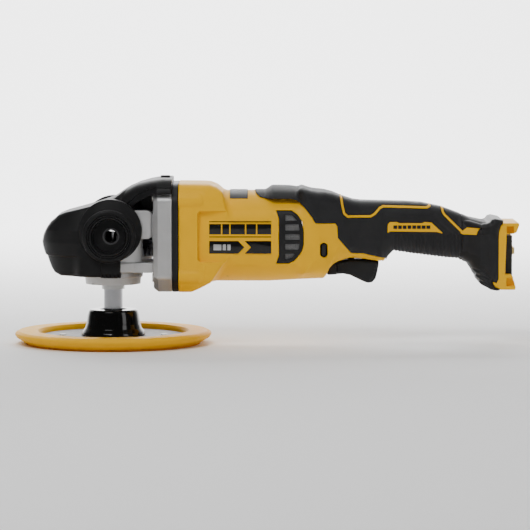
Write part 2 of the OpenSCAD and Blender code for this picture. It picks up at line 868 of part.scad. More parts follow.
module obround(half_w, half_h, y0, l) {
  translate([lock_on_x, y0, lock_on_z]) rotate([-90, 0, 0]) linear_extrude(l)
    round_rect(2 * half_w, 2 * half_h, half_w - eps);
}

module housing_half(side) {
  one_side(side) difference() {
    union() {
      difference() {
        housing_solid();
        housing_room();
      }
      housing_ribs();
      boss_columns();
    }
    screw_holes();
    both_sides() translate([barrel_x + 16, barrel_half - panel_depth, drive_z - 23])
      cube([72, 10, 48]);
    shield_prism(0);
    trigger_slot(trigger_half + gap);
    mirror([0, 1, 0]) obround(3.4, 6.8, barrel_half - 18, 30);
    dial_cut(0);
    gear_plate_room();
    rail_room();
    lead_room();
    across(trigger_x, -15, trigger_z, 30, pin_r);
    barrel_bore();
  }
}

// Room for what stands inside the housing, past its ribs
module gear_plate_room() {
  drive_rod(barrel_x - 1, front_bearing_x + rotor_bearing_w + 1 - barrel_x, 26);
  case_screw_places() cylinder(h = 42, r = screw_r);
}

module barrel_bore() {
  drive_rod(fan_x - 1, fan_w + 1.5, fan_d / 2 + 1);
  drive_rod(stator_x, stator_l, stator_d / 2);
}

module lead_room() {
  for (y = [-6, 0, 6]) translate([board_x, y, lead_z]) rotate([0, 90, 0])
    cylinder(h = controller_x - board_x, r = lead_r + 0.2);
}

module rail_room() {
  side_prism(terminal_half, [
    [foot_x + 8, rail_mid - 22], [foot_x + 8, rail_mid + 14], [rail_x, rail_mid + 14],
    [rail_x, rail_mid - 22]]);
}

module housing_left() { color("gold") housing_half(-1); }
module housing_right() { color("gold") housing_half(1); }

// --- Soft grips ---

// Black areas of the housing seen from the side
module grip_area() {
  side_prism(60, [
    [barrel_x + 80, drive_z + barrel_r - 9], [barrel_x + 105, drive_z + barrel_r - 10],
    [barrel_x + 120, drive_z + 10], [handle_x + 15, drive_z + 10],
    [handle_x + 16, drive_z - 4], [handle_x + 28, drive_z - 13], [handle_x + 58, drive_z - 14],
    [foot_x + 1, foot_bottom + 24], [foot_x + 1, 180], [barrel_x + 80, 180]]);
}

module grip(side) {
  color([0.12, 0.12, 0.12]) one_side(side) difference() {
    intersection() {
      union() {
        barrel_top(grip_t);
        handle_solid(0);
      }
      grip_area();
    }
    barrel_solid(0);
    handle_solid(-grip_t);
    foot_solid(0);
    trigger_cheeks(trigger_half + 3.4);
    trigger_slot(trigger_half + gap);
    screw_holes();
    dial_cut(0);
    shield_prism(0);
    mirror([0, 1, 0]) obround(3.4, 6.8, 10, 60);
  }
}

module barrel_top(g) {
  on_drive(barrel_x + 80) linear_extrude(barrel_l - 80 + eps) barrel_section(g);
}

module grip_left() { grip(-1); }
module grip_right() { grip(1); }

module housing_screws() {
  color("dimgray") for (i = [0:len(clam_screws) - 1]) let (p = clam_screws[i]) {
    across(p[0], -screw_seat(i) + 4, p[1], 2 * screw_seat(i) - 3, screw_r);
    across(p[0], screw_seat(i), p[1], 2.4, 3.5);
  }
}

module side_badges() {
  color([0.1, 0.1, 0.1]) both_sides() {
    translate([barrel_x + 28, barrel_half - panel_depth, drive_z + 1]) cube([54, badge_t, 12]);
    translate([barrel_x + 28, barrel_half - panel_depth, drive_z - 12]) cube([24, badge_t, 9]);
  }
}

// --- Intake shields and screens ---

module shield_windows() {
  for (k = [-2:2]) translate([screen_x - 4, -60, drive_z + 0.7 + 8.7 * k - 2.7])
    cube([12.5, 120, 5.4]);
}

module wool_shields() {
  color([0.15, 0.15, 0.15]) difference() {
    intersection() {
      shield_prism(0.1);
      on_drive(screen_x - 15) linear_extrude(40) difference() {
        barrel_section(1);
        barrel_section(-wall);
      }
    }
    shield_windows();
    translate([0, -20, 0]) cube([400, 40, 200]);
  }
}

module intake_screens() {
  color("gray") difference() {
    intersection() {
      shield_prism(0.1);
      on_drive(screen_x - 15) linear_extrude(40) difference() {
        barrel_section(-wall);
        barrel_section(-wall - screen_t);
      }
    }
    translate([0, -20, 0]) cube([400, 40, 200]);
  }
}

// --- Speed dial ---

module dial_cut(clear) {
  on_drive(dial_x - bezel_w / 2 - clear) rotate(90 - 34) rotate_extrude(angle = 68)
    translate([barrel_r - wall - 0.5, 0]) square([10, bezel_w + 2 * clear]);
}

module dial_bezel() {
  color([0.1, 0.1, 0.1]) difference() {
    on_drive(dial_x - bezel_w / 2) rotate(90 - 34) rotate_extrude(angle = 68)
      translate([barrel_r - wall - 0.5, 0]) square([wall + 0.8, bezel_w]);
    translate([dial_x - dial_r - 0.5, -dial_half - gap, dial_z])
      cube([2 * dial_r + 1, 2 * (dial_half + gap), 20]);
  }
}

module speed_dial() {
  color("black") {
    difference() {
      across(dial_x, -dial_half, dial_z, 2 * dial_half, dial_r);
      for (a = [0:20:340]) translate([dial_x, 0, dial_z]) rotate([0, a, 0])
        translate([dial_r, 0, 0]) rotate([90, 0, 0]) cylinder(h = 20, r = 0.6, center = true, $fn = 8);
    }
    across(dial_x, -dial_half - 3, dial_z, 2 * dial_half + 6, 1.5);
  }
}

module dial_board() {
  color("darkgreen") both_sides() difference() {
    translate([dial_x - 5, dial_half + 1, dial_z - 5]) cube([10, 1.6, 6.4]);
    across(dial_x, 0, dial_z, 20, 1.5 + run);
  }
}

// --- Lock-on button, trigger and switch ---

module lock_on_button() {
  color("black") mirror([0, 1, 0]) {
    obround(1.8, 5.3, barrel_half - 10, 9);
    obround(3.1, 6.5, barrel_half - 10, 2);
  }
}

module trigger() {
  color("black") difference() {
    side_prism(trigger_half, [
      [trigger_x - 4, trigger_z - 5], [trigger_x + 12, trigger_z - 5], [trigger_x + 18, trigger_z - 6.5],
      [trigger_x + 32, trigger_z - 13.5], [trigger_x + 37, trigger_z - 13.5],
      [trigger_x + 40.5, trigger_z - 9.5], [trigger_x + 43, trigger_z + 3], [trigger_x + 43, trigger_z + 6],
      [trigger_x - 2, trigger_z + 6], [trigger_x - 4, trigger_z + 3]]);
    across(trigger_x, -15, trigger_z, 30, pin_r + run);
  }
}

module trigger_pin() {
  color("silver") across(trigger_x, -15, trigger_z, 30, pin_r);
}

module trigger_spring() {
  low = trigger_z + 6;
  color("silver") for (k = [0:7]) translate([trigger_x + 18, 0, low + 0.6 + k * 1.65])
    rotate_extrude() translate([3.2, 0]) circle(0.5);
}

module switch_body() {
  color("dimgray") difference() {
    translate([trigger_x + 12, -11, switch_z]) cube([switch_l, 22, 20]);
    translate([plunger_x, 0, switch_z - 1]) cylinder(h = 16, r = plunger_r + run);
  }
}

module switch_plunger() {
  color("white") translate([plunger_x, 0, trigger_z + 6 + gap])
    cylinder(h = switch_z - trigger_z, r = plunger_r);
}

// --- Electronics ---

module controller_module() {
  color([0.2, 0.2, 0.22])
    translate([controller_x, -12, drive_z - 6]) cube([controller_l, 24, 22]);
}

module wire_leads() {
  color("darkred") {
    for (y = [-6, 0, 6]) translate([board_x + board_t, y, lead_z]) rotate([0, 90, 0])
      cylinder(h = controller_x - board_x - board_t, r = lead_r);
    for (y = [-6, 6]) translate([controller_x + controller_l, y, rail_mid + 9])
      rotate([0, 90, 0]) cylinder(h = foot_x + 10 - controller_x - controller_l, r = lead_r);
  }
}

// --- Battery receptacle ---

receptacle_side = [
  [receptacle_x - 6, foot_bottom + 2], [rail_x + rail_depth, foot_bottom + 2],
  [rail_x + rail_depth, rail_mid - rail_gap / 2], [rail_x, rail_mid - rail_gap / 2],
  [rail_x, rail_mid + rail_gap / 2], [rail_x + rail_depth, rail_mid + rail_gap / 2],
  [rail_x + rail_depth, rail_mid + rail_gap / 2 - rail_lip_h],
  [rail_x + rail_depth + rail_lip_t, rail_mid + rail_gap / 2 - rail_lip_h],
  [rail_x + rail_depth + rail_lip_t, foot_top], [receptacle_x - 6, foot_top]];

module battery_receptacle() {
  color("gold") difference() {
    side_prism(foot_w / 2 - 3, receptacle_side);
    foot_solid(0);
    side_prism(terminal_half, [
      [foot_x + 8, rail_mid - 22], [foot_x + 8, rail_mid + 14],
      [rail_x + 1, rail_mid + 14], [rail_x + 1, rail_mid - 22]]);
  }
}

module terminal_block() {
  color([0.1, 0.1, 0.1]) difference() {
    side_prism(terminal_half - 0.1, [
      [foot_x + 12, rail_mid - 21.9], [foot_x + 12, rail_mid + 13.9],
      [rail_x + 3.2, rail_mid + 13.9], [rail_x + 3.2, rail_mid - 21.9]]);
    blade_places() cube([6, 1.2, 6]);
  }
}

module blade_places() {
  for (y = [-16.6, -8.6, -0.6, 7.4, 15.4]) translate([rail_x - 2, y, rail_mid - 3]) children();
}

module terminal_blades() {
  color("goldenrod") blade_places() cube([rail_depth + 1, 1.2, 6]);
}

hook_face();
pad_rim();
pad_plate();
pad_rivets();
pad_hub();
hub_insert();
spindle();
bevel_gear();
gear_nut();
dust_seal();
spindle_bearing_cap();
cap_screws();
spindle_lower_bearing();
spindle_upper_bearing();
gear_case();
gear_case_boot();
side_handle_inserts();
gear_case_screws();
spindle_lock_button();
lock_spring();
bevel_pinion();
pinion_bearing();
planet_carrier();
planet_pins();
planet_gear_1();
planet_gear_2();
planet_gear_3();
ring_gear();
gear_plate();
rotor_shaft();
rotor_front_bearing();
rotor_rear_bearing();
rotor_core();
cooling_fan();
air_baffle();
stator_core();
stator_windings();
sensor_board();
housing_left();
housing_right();
grip_left();
grip_right();
housing_screws();
side_badges();
wool_shields();
intake_screens();
dial_bezel();
speed_dial();
dial_board();
lock_on_button();
trigger();
trigger_pin();
trigger_spring();
switch_body();
switch_plunger();
controller_module();
wire_leads();
battery_receptacle();
terminal_block();
terminal_blades();
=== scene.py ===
"""Looks of the cordless rotary polisher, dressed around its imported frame."""

import json
import logging
import math
from dataclasses import dataclass, field
from enum import Enum
from typing import Callable, Sequence

import bmesh
import bpy
import numpy as np
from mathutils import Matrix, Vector

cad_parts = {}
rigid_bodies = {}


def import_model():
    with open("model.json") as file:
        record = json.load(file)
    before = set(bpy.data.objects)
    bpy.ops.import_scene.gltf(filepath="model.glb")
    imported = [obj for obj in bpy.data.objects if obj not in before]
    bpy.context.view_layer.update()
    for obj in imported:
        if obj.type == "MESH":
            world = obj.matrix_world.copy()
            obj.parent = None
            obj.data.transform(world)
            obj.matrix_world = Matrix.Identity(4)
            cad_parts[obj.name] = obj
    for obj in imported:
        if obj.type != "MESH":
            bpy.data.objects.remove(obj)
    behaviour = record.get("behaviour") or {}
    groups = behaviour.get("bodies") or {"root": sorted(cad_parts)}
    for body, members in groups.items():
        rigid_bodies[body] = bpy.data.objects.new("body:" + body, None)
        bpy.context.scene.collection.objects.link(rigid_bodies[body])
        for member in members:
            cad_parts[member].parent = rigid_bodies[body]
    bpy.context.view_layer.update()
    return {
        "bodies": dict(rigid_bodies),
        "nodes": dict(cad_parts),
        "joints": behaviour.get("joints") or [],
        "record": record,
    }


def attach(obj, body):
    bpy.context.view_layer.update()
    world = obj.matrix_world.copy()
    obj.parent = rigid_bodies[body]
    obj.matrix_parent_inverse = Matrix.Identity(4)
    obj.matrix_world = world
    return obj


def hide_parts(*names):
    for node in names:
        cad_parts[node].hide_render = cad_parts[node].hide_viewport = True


LOG = logging.getLogger("polisher")
MM = 0.001
NODE_CREASE = math.radians(28)
PLATE_CREASE = math.radians(30)
TURNED_CREASE = math.radians(40)
DRIVE_Z = 98.0
BODY = "tool_body"
SPINDLE = "drive_spindle"

Array = np.ndarray
Field = Callable[[Array, Array, Array], Array]
Points = Sequence[tuple[float, float]]


# --- Distance fields, in millimetres, below zero inside the solid ---


def round_cut(a: Array, b: Array, r: float) -> Array:
    """What a and b share, its outer edge rounded to radius r.

    Args:
        a: first distance.
        b: second distance.
        r: edge radius.

    Returns:
        The joint distance.
    """
    u, v = np.maximum(a + r, 0), np.maximum(b + r, 0)
    return np.minimum(-r, np.maximum(a, b)) + np.sqrt(u * u + v * v)


def round_join(a: Array, b: Array, r: float) -> Array:
    """a and b together, with a fillet of radius r where they meet.

    Args:
        a: first distance.
        b: second distance.
        r: fillet radius.

    Returns:
        The joint distance.
    """
    u, v = np.maximum(r - a, 0), np.maximum(r - b, 0)
    return np.maximum(r, np.minimum(a, b)) - np.sqrt(u * u + v * v)


def outline(u: Array, v: Array, points: Points) -> Array:
    """Signed distance to a closed outline in the plane of u and v.

    Args:
        u: first coordinate.
        v: second coordinate.
        points: the outline's corners in order.

    Returns:
        The distance, below zero inside.
    """
    near = None
    inside = None
    for (au, av), (bu, bv) in zip(points, list(points[1:]) + [points[0]]):
        eu, ev = bu - au, bv - av
        wu, wv = u - au, v - av
        t = np.clip((wu * eu + wv * ev) / (eu * eu + ev * ev), 0, 1)
        d = (wu - t * eu) ** 2 + (wv - t * ev) ** 2
        crosses = ((av > v) != (bv > v)) & (
            u < eu * (v - av) / (ev if ev else 1e-9) + au
        )
        near = d if near is None else np.minimum(near, d)
        inside = crosses if inside is None else inside ^ crosses
    return np.where(inside, -1.0, 1.0) * np.sqrt(near)


def stroke(u: Array, v: Array, points: Points, width: float) -> Array:
    """Signed distance to a line of even width drawn through points.

    Args:
        u: first coordinate.
        v: second coordinate.
        points: the line's points in order.
        width: its full width.

    Returns:
        The distance, below zero on the line.
    """
    near = None
    for (au, av), (bu, bv) in zip(points[:-1], points[1:]):
        eu, ev = bu - au, bv - av
        t = np.clip(((u - au) * eu + (v - av) * ev) / (eu * eu + ev * ev), 0, 1)
        d = np.hypot(u - au - t * eu, v - av - t * ev)
        near = d if near is None else np.minimum(near, d)
    return near - width / 2


def ramp(value: Array, low: float, high: float) -> Array:
    """A smooth step from 0 at low to 1 at high."""
    t = np.clip((value - low) / (high - low), 0, 1)
    return t * t * (3 - 2 * t)


def along(x: Array, table: Points) -> Array:
    """Values read off a table of (x, value) pairs."""
    return np.interp(x, [p[0] for p in table], [p[1] for p in table])


def slab(v: Array, low: float, high: float) -> Array:
    """Distance to the slab between low and high."""
    return np.maximum(low - v, v - high)


# --- Making meshes ---


def add_object(name: str, mesh: bpy.types.Mesh) -> bpy.types.Object:
    """Links a new object with that mesh to the scene."""
    made = bpy.data.objects.new(name, mesh)
    bpy.context.scene.collection.objects.link(made)
    return made


def quad_mesh(name: str, points: Array, quads: Array) -> bpy.types.Object:
    """An object from corner points in millimetres and four-sided faces.

    Args:
        name: the object's name.
        points: corners, one row each.
        quads: corner numbers, four in a row.

    Returns:
        The new object.
    """
    mesh = bpy.data.meshes.new(name)
    mesh.vertices.add(len(points))
    mesh.vertices.foreach_set("co", (points * MM).astype(np.float32).ravel())
    mesh.loops.add(4 * len(quads))
    mesh.loops.foreach_set("vertex_index", quads.astype(np.int32).ravel())
    mesh.polygons.add(len(quads))
    mesh.polygons.foreach_set("loop_start", np.arange(0, 4 * len(quads), 4, dtype=np.int32))
    mesh.update(calc_edges=True)
    mesh.polygons.foreach_set("use_smooth", np.ones(len(quads), bool))
    return add_object(name, mesh)


CORNERS = np.array([(i, j, k) for i in (0, 1) for j in (0, 1) for k in (0, 1)])
EDGES = [
    (a, b)
    for a in range(8)
    for b in range(a + 1, 8)
    if np.abs(CORNERS[a] - CORNERS[b]).sum() == 1
]


@dataclass(frozen=True)
class Moulder:
    """Turns a distance field into a smooth closed mesh.

    Args:
        pitch: spacing of the sampling grid in millimetres.
        settle: how many times the points are drawn onto the surface.
    """

    pitch: float = 0.8
    settle: int = 4

    def slope(self, shape: Field, p: Array) -> tuple[Array, Array]:
        """The field and its gradient at points.

        Args:
            shape: the field.
            p: points, one row each.

        Returns:
            The field's values, and its gradient, one row each.
        """
        h = 0.04
        here = np.asarray(shape(p[:, 0], p[:, 1], p[:, 2]), float)
        grad = np.empty_like(p)
        for axis in range(3):
            q = p.copy()
            q[:, axis] += h
            grad[:, axis] = (shape(q[:, 0], q[:, 1], q[:, 2]) - here) / h
        return here, grad

    def cast(
        self, name: str, shape: Field, low: Sequence[float], high: Sequence[float]
    ) -> bpy.types.Object:
        """The surface of the field between two corners.

        Args:
            name: the object's name.
            shape: the field.
            low: lowest corner.
            high: highest corner.

        Returns:
            The new object.
        """
        axes = [np.arange(a - self.pitch, b + 2 * self.pitch, self.pitch) for a, b in zip(low, high)]
        grid = np.meshgrid(*axes, indexing="ij", sparse=True)
        size = tuple(len(a) for a in axes)
        vals = np.broadcast_to(shape(*grid), size).astype(np.float32)
        solid = vals < 0
        count = sum(
            solid[i : size[0] - 1 + i, j : size[1] - 1 + j, k : size[2] - 1 + k].astype(np.int8)
            for i, j, k in CORNERS
        )
        cells = (count > 0) & (count < 8)
        at = np.argwhere(cells)
        number = np.full(cells.shape, -1, np.int32)
        number[cells] = np.arange(len(at))
        total, hits = np.zeros((len(at), 3)), np.zeros(len(at))
        corner = [vals[tuple((at + c).T)] for c in CORNERS]
        for a, b in EDGES:
            va, vb = corner[a], corner[b]
            cut = (va < 0) != (vb < 0)
            t = (va[cut] / (va[cut] - vb[cut]))[:, None]
            total[cut] += CORNERS[a] + t * (CORNERS[b] - CORNERS[a])
            hits[cut] += 1
        origin = np.array([a[0] for a in axes])
        p = origin + self.pitch * (at + total / hits[:, None])
        for _ in range(self.settle):
            here, grad = self.slope(shape, p)
            steep = np.maximum((grad**2).sum(1), 0.09)
            move = -(here / steep)[:, None] * grad
            long = np.linalg.norm(move, axis=1, keepdims=True)
            p += move * np.minimum(1, 0.4 * self.pitch / np.maximum(long, 1e-9))
        quads = np.concatenate([self.faces(solid, number, axis) for axis in range(3)])
        made = quad_mesh(name, p, quads)
        _, grad = self.slope(shape, p)
        grad /= np.maximum(np.linalg.norm(grad, axis=1, keepdims=True), 1e-9)
        made.data.normals_split_custom_set_from_vertices(grad)
        return made

    def faces(self, solid: Array, number: Array, axis: int) -> Array:
        """Faces round the grid edges along one axis that the surface crosses.

        Args:
            solid: which grid points are inside.
            number: each cell's point, or -1.
            axis: 0, 1 or 2.

        Returns:
            Corner numbers, four in a row.
        """
        u, v = (axis + 1) % 3, (axis + 2) % 3
        here, there = [slice(1, -1)] * 3, [slice(1, -1)] * 3
        here[axis], there[axis] = slice(None, -1), slice(1, None)
        first = solid[tuple(here)]
        at = np.argwhere(first != solid[tuple(there)])
        outward = first[tuple(at.T)]
        at[:, u] += 1
        at[:, v] += 1
        ring = []
        for du, dv in ((1, 1), (0, 1), (0, 0), (1, 0)):
            cell = at.copy()
            cell[:, u] -= du
            cell[:, v] -= dv
            ring.append(number[tuple(cell.T)])
        quads = np.stack(ring, 1)
        quads[~outward] = quads[~outward][:, ::-1]
        return quads


def mirrored(source: bpy.types.Object, name: str) -> bpy.types.Object:
    """A copy of the object on the other side of Y = 0.

    Args:
        source: the object to copy.
        name: the copy's name.

    Returns:
        The new object.
    """
    old = source.data
    points = np.empty(3 * len(old.vertices), np.float32)
    old.vertices.foreach_get("co", points)
    points = points.reshape(-1, 3) / MM
    points[:, 1] *= -1
    quads = np.empty(len(old.loops), np.int32)
    old.loops.foreach_get("vertex_index", quads)
    made = quad_mesh(name, points, quads.reshape(-1, 4)[:, ::-1])
    normals = np.empty(3 * len(old.loops), np.float32)
    old.corner_normals.foreach_get("vector", normals)
    by_point = np.zeros((len(points), 3), np.float32)
    by_point[quads] = normals.reshape(-1, 3)
    by_point[:, 1] *= -1
    made.data.normals_split_custom_set_from_vertices(by_point)
    return made


def eased(points: Points, radius: float, steps: int = 4) -> list[tuple[float, float]]:
    """A closed outline with its corners rounded.

    Args:
        points: the outline's corners.
        radius: the largest radius used.
        steps: points along each round corner.

    Returns:
        The new outline.
    """
    made = []
    n = len(points)
    for i in range(n):
        p, c, q = (Vector(points[(i + k) % n]) for k in (-1, 0, 1))
        before, after = p - c, q - c
        half = before.angle(after, math.pi) / 2
        reach = min(radius / max(math.tan(half), 1e-3), before.length * 0.45, after.length * 0.45)
        if half > 1.5 or reach < 1e-3:
            made.append(tuple(c))
            continue
        a, b = c + before.normalized() * reach, c + after.normalized() * reach
        for s in range(steps + 1):
            t = s / steps
            made.append(tuple(a * (1 - t) ** 2 + c * 2 * t * (1 - t) + b * t * t))
    return made


def turned(
    name: str, profile: Points, radius: float = 0.5, turns: int = 128
) -> bpy.types.Object:
    """A closed profile of (radius, height) turned about the spindle's axis.

    Args:
        name: the object's name.
        profile: corners, in millimetres.
        radius: how far the corners are rounded.
        turns: points round the axis.

    Returns:
        The new object.
    """
    ring = eased(profile, radius)
    angles = np.arange(turns) * 2 * math.pi / turns
    points = np.array(
        [(max(r, 0.02) * math.cos(a), max(r, 0.02) * math.sin(a), z) for a in angles for r, z in ring]
    )
    n = len(ring)
    i, j = np.meshgrid(np.arange(turns), np.arange(n), indexing="ij")
    i2, j2 = (i + 1) % turns, (j + 1) % n
    quads = np.stack([i * n + j, i2 * n + j, i2 * n + j2, i * n + j2], -1).reshape(-1, 4)
    area = sum(a[0] * b[1] - b[0] * a[1] for a, b in zip(ring, ring[1:] + ring[:1]))
    made = quad_mesh(name, points, quads if area > 0 else quads[:, ::-1])
    made.data.set_sharp_from_angle(angle=TURNED_CREASE)
    return made


class Facing(Enum):
    """The way a flat plate is pushed out."""

    SIDE = "side"
    REAR = "rear"
    UP = "up"


def plate(
    name: str,
    points: Points,
    low: float,
    high: float,
    facing: Facing = Facing.SIDE,
    bevel: float = 0.15,
) -> bpy.types.Object:
    """A flat plate with softened edges.

    Args:
        name: the object's name.
        points: its outline.
        low: where its thickness starts.
        high: where its thickness ends.
        facing: the direction of its thickness.
        bevel: width of the edge softening.

    Returns:
        The new object.
    """
    place = {
        Facing.SIDE: lambda u, v, w: (u, w, v),
        Facing.REAR: lambda u, v, w: (w, u, v),
        Facing.UP: lambda u, v, w: (u, v, w),
    }[facing]
    work = bmesh.new()
    bottom = [work.verts.new(Vector(place(u, v, low)) * MM) for u, v in points]
    top = [work.verts.new(Vector(place(u, v, high)) * MM) for u, v in points]
    work.faces.new(bottom)
    work.faces.new(list(reversed(top)))
    for i in range(len(points)):
        j = (i + 1) % len(points)
        work.faces.new([bottom[i], top[i], top[j], bottom[j]])
    bmesh.ops.recalc_face_normals(work, faces=work.faces)
    if bevel:
        edges = [e for e in work.edges if e.calc_face_angle(0) > 0.5]
        bmesh.ops.bevel(
            work, geom=edges, offset=bevel * MM, segments=2, profile=0.6,
            affect="EDGES", clamp_overlap=True)
    mesh = bpy.data.meshes.new(name)
    work.to_mesh(mesh)
    work.free()
    mesh.set_sharp_from_angle(angle=PLATE_CREASE)
    return add_object(name, mesh)


def joined(name: str, parts: Sequence[bpy.types.Object]) -> bpy.types.Object:
    """Several objects made into one mesh.

    Args:
        name: the new object's name.
        parts: the objects, which are used up.

    Returns:
        The joined object.
    """
    work = bmesh.new()
    for part in parts:
        part.data.transform(part.matrix_basis)
        work.from_mesh(part.data)
        bpy.data.objects.remove(part)
    mesh = bpy.data.meshes.new(name)
    work.to_mesh(mesh)
    work.free()
    mesh.polygons.foreach_set("use_smooth", np.ones(len(mesh.polygons), bool))
    mesh.set_sharp_from_angle(angle=PLATE_CREASE)
    return add_object(name, mesh)


# --- Finishes ---


class Grain(Enum):
    """The fine relief of a surface."""

    MOULDED = "moulded"
    CAST = "cast"
    TURNED = "turned"
    HOOKS = "hooks"
    MESH = "mesh"
    WOUND = "wound"


@dataclass(frozen=True)
class Finish:
    """One finish, made of shader nodes.

    Args:
        slot: the record's material slot.
        colour: base colour.
        roughness: mean roughness.
        metallic: 1 for bare metal.
        grain: kind of fine relief.
        size: size of the grain in millimetres.
        depth: depth of the grain in millimetres.
        mottle: strength of the colour variation.
        wear: how much lighter worn edges are.
        coat: clear gloss on top.
        shine: strength of the surface's own reflection.
    """

    slot: str
    colour: tuple[float, float, float]
    roughness: float
    metallic: float = 0.0
    grain: Grain = Grain.MOULDED
    size: float = 0.5
    depth: float = 0.03
    mottle: float = 0.06
    wear: float = 0.15
    coat: float = 0.0
    shine: float = 0.35

    def made(self) -> bpy.types.Material:
        """The finish's material, made once.

        Returns:
            The material.
        """
        found = bpy.data.materials.get(f"{self.slot}_finish")
        if found:
            return found
        material = bpy.data.materials.new(f"{self.slot}_finish")
        material.use_nodes = True
        nodes, links = material.node_tree.nodes, material.node_tree.links
        shader = nodes["Principled BSDF"]
        shader.inputs["Metallic"].default_value = self.metallic
        shader.inputs["Coat Weight"].default_value = self.coat
        shader.inputs["Specular IOR Level"].default_value = self.shine
        shader.inputs["Coat Roughness"].default_value = 0.08
        place = nodes.new("ShaderNodeTexCoord")
        links.new(self.tint(nodes, links, place), shader.inputs["Base Color"])
        patches = self.noise(nodes, links, place, 6.0, 3)
        spread = nodes.new("ShaderNodeMapRange")
        spread.inputs["To Min"].default_value = max(self.roughness - 0.07, 0.03)
        spread.inputs["To Max"].default_value = min(self.roughness + 0.07, 1.0)
        links.new(patches.outputs["Fac"], spread.inputs["Value"])
        links.new(spread.outputs["Result"], shader.inputs["Roughness"])
        links.new(self.relief(nodes, links, place), shader.inputs["Normal"])
        return material

    def noise(
        self,
        nodes: bpy.types.Nodes,
        links: bpy.types.NodeLinks,
        place: bpy.types.Node,
        size: float,
        detail: int,
    ) -> bpy.types.Node:
        """A noise texture with cells of that size.

        Args:
            nodes: the material's nodes.
            links: its links.
            place: the texture coordinates.
            size: cell size in millimetres.
            detail: octaves.

        Returns:
            The noise node.
        """
        made = nodes.new("ShaderNodeTexNoise")
        made.inputs["Scale"].default_value = 1000.0 / size
        made.inputs["Detail"].default_value = detail
        links.new(place.outputs["Object"], made.inputs["Vector"])
        return made

    def tint(
        self, nodes: bpy.types.Nodes, links: bpy.types.NodeLinks, place: bpy.types.Node
    ) -> bpy.types.NodeSocket:
        """The base colour with its variation and worn edges.

        Args:
            nodes: the material's nodes.
            links: its links.
            place: the texture coordinates.

        Returns:
            The colour's socket.
        """
        patches = self.noise(nodes, links, place, 14.0, 4)
        body = nodes.new("ShaderNodeValToRGB")
        dark = tuple(c * (1 - self.mottle) for c in self.colour)
        light = tuple(min(c * (1 + self.mottle), 1.0) for c in self.colour)
        body.color_ramp.elements[0].position, body.color_ramp.elements[1].position = 0.3, 0.7
        body.color_ramp.elements[0].color = (*dark, 1)
        body.color_ramp.elements[1].color = (*light, 1)
        links.new(patches.outputs["Fac"], body.inputs["Fac"])
        edge = nodes.new("ShaderNodeNewGeometry")
        worn = nodes.new("ShaderNodeMapRange")
        worn.inputs["From Min"].default_value = 0.53
        worn.inputs["From Max"].default_value = 0.62
        worn.inputs["To Max"].default_value = self.wear
        links.new(edge.outputs["Pointiness"], worn.inputs["Value"])
        mix = nodes.new("ShaderNodeMix")
        mix.data_type = "RGBA"
        mix.inputs["B"].default_value = (*(min(c * 1.5 + 0.08, 1.0) for c in self.colour), 1)
        links.new(worn.outputs["Result"], mix.inputs["Factor"])
        links.new(body.outputs["Color"], mix.inputs["A"])
        return mix.outputs["Result"]

    def relief(
        self, nodes: bpy.types.Nodes, links: bpy.types.NodeLinks, place: bpy.types.Node
    ) -> bpy.types.NodeSocket:
        """The fine relief as a normal.

        Args:
            nodes: the material's nodes.
            links: its links.
            place: the texture coordinates.

        Returns:
            The normal's socket.
        """
        bump = nodes.new("ShaderNodeBump")
        bump.inputs["Distance"].default_value = self.depth * MM
        bump.inputs["Strength"].default_value = 0.8
        if self.grain in (Grain.MESH, Grain.HOOKS, Grain.WOUND):
            made = nodes.new("ShaderNodeTexVoronoi")
            made.inputs["Scale"].default_value = 1000.0 / self.size
            made.inputs["Randomness"].default_value = 0.0 if self.grain is Grain.MESH else 0.7
            links.new(place.outputs["Object"], made.inputs["Vector"])
            links.new(made.outputs["Distance"], bump.inputs["Height"])
            return bump.outputs["Normal"]
        made = self.noise(nodes, links, place, self.size, 2 if self.grain is Grain.MOULDED else 5)
        if self.grain is Grain.TURNED:
            stretch = nodes.new("ShaderNodeMapping")
            stretch.inputs["Scale"].default_value = (0.05, 0.05, 2.5)
            links.new(place.outputs["Object"], stretch.inputs["Vector"])
            links.new(stretch.outputs["Vector"], made.inputs["Vector"])
        links.new(made.outputs["Fac"], bump.inputs["Height"])
        return bump.outputs["Normal"]


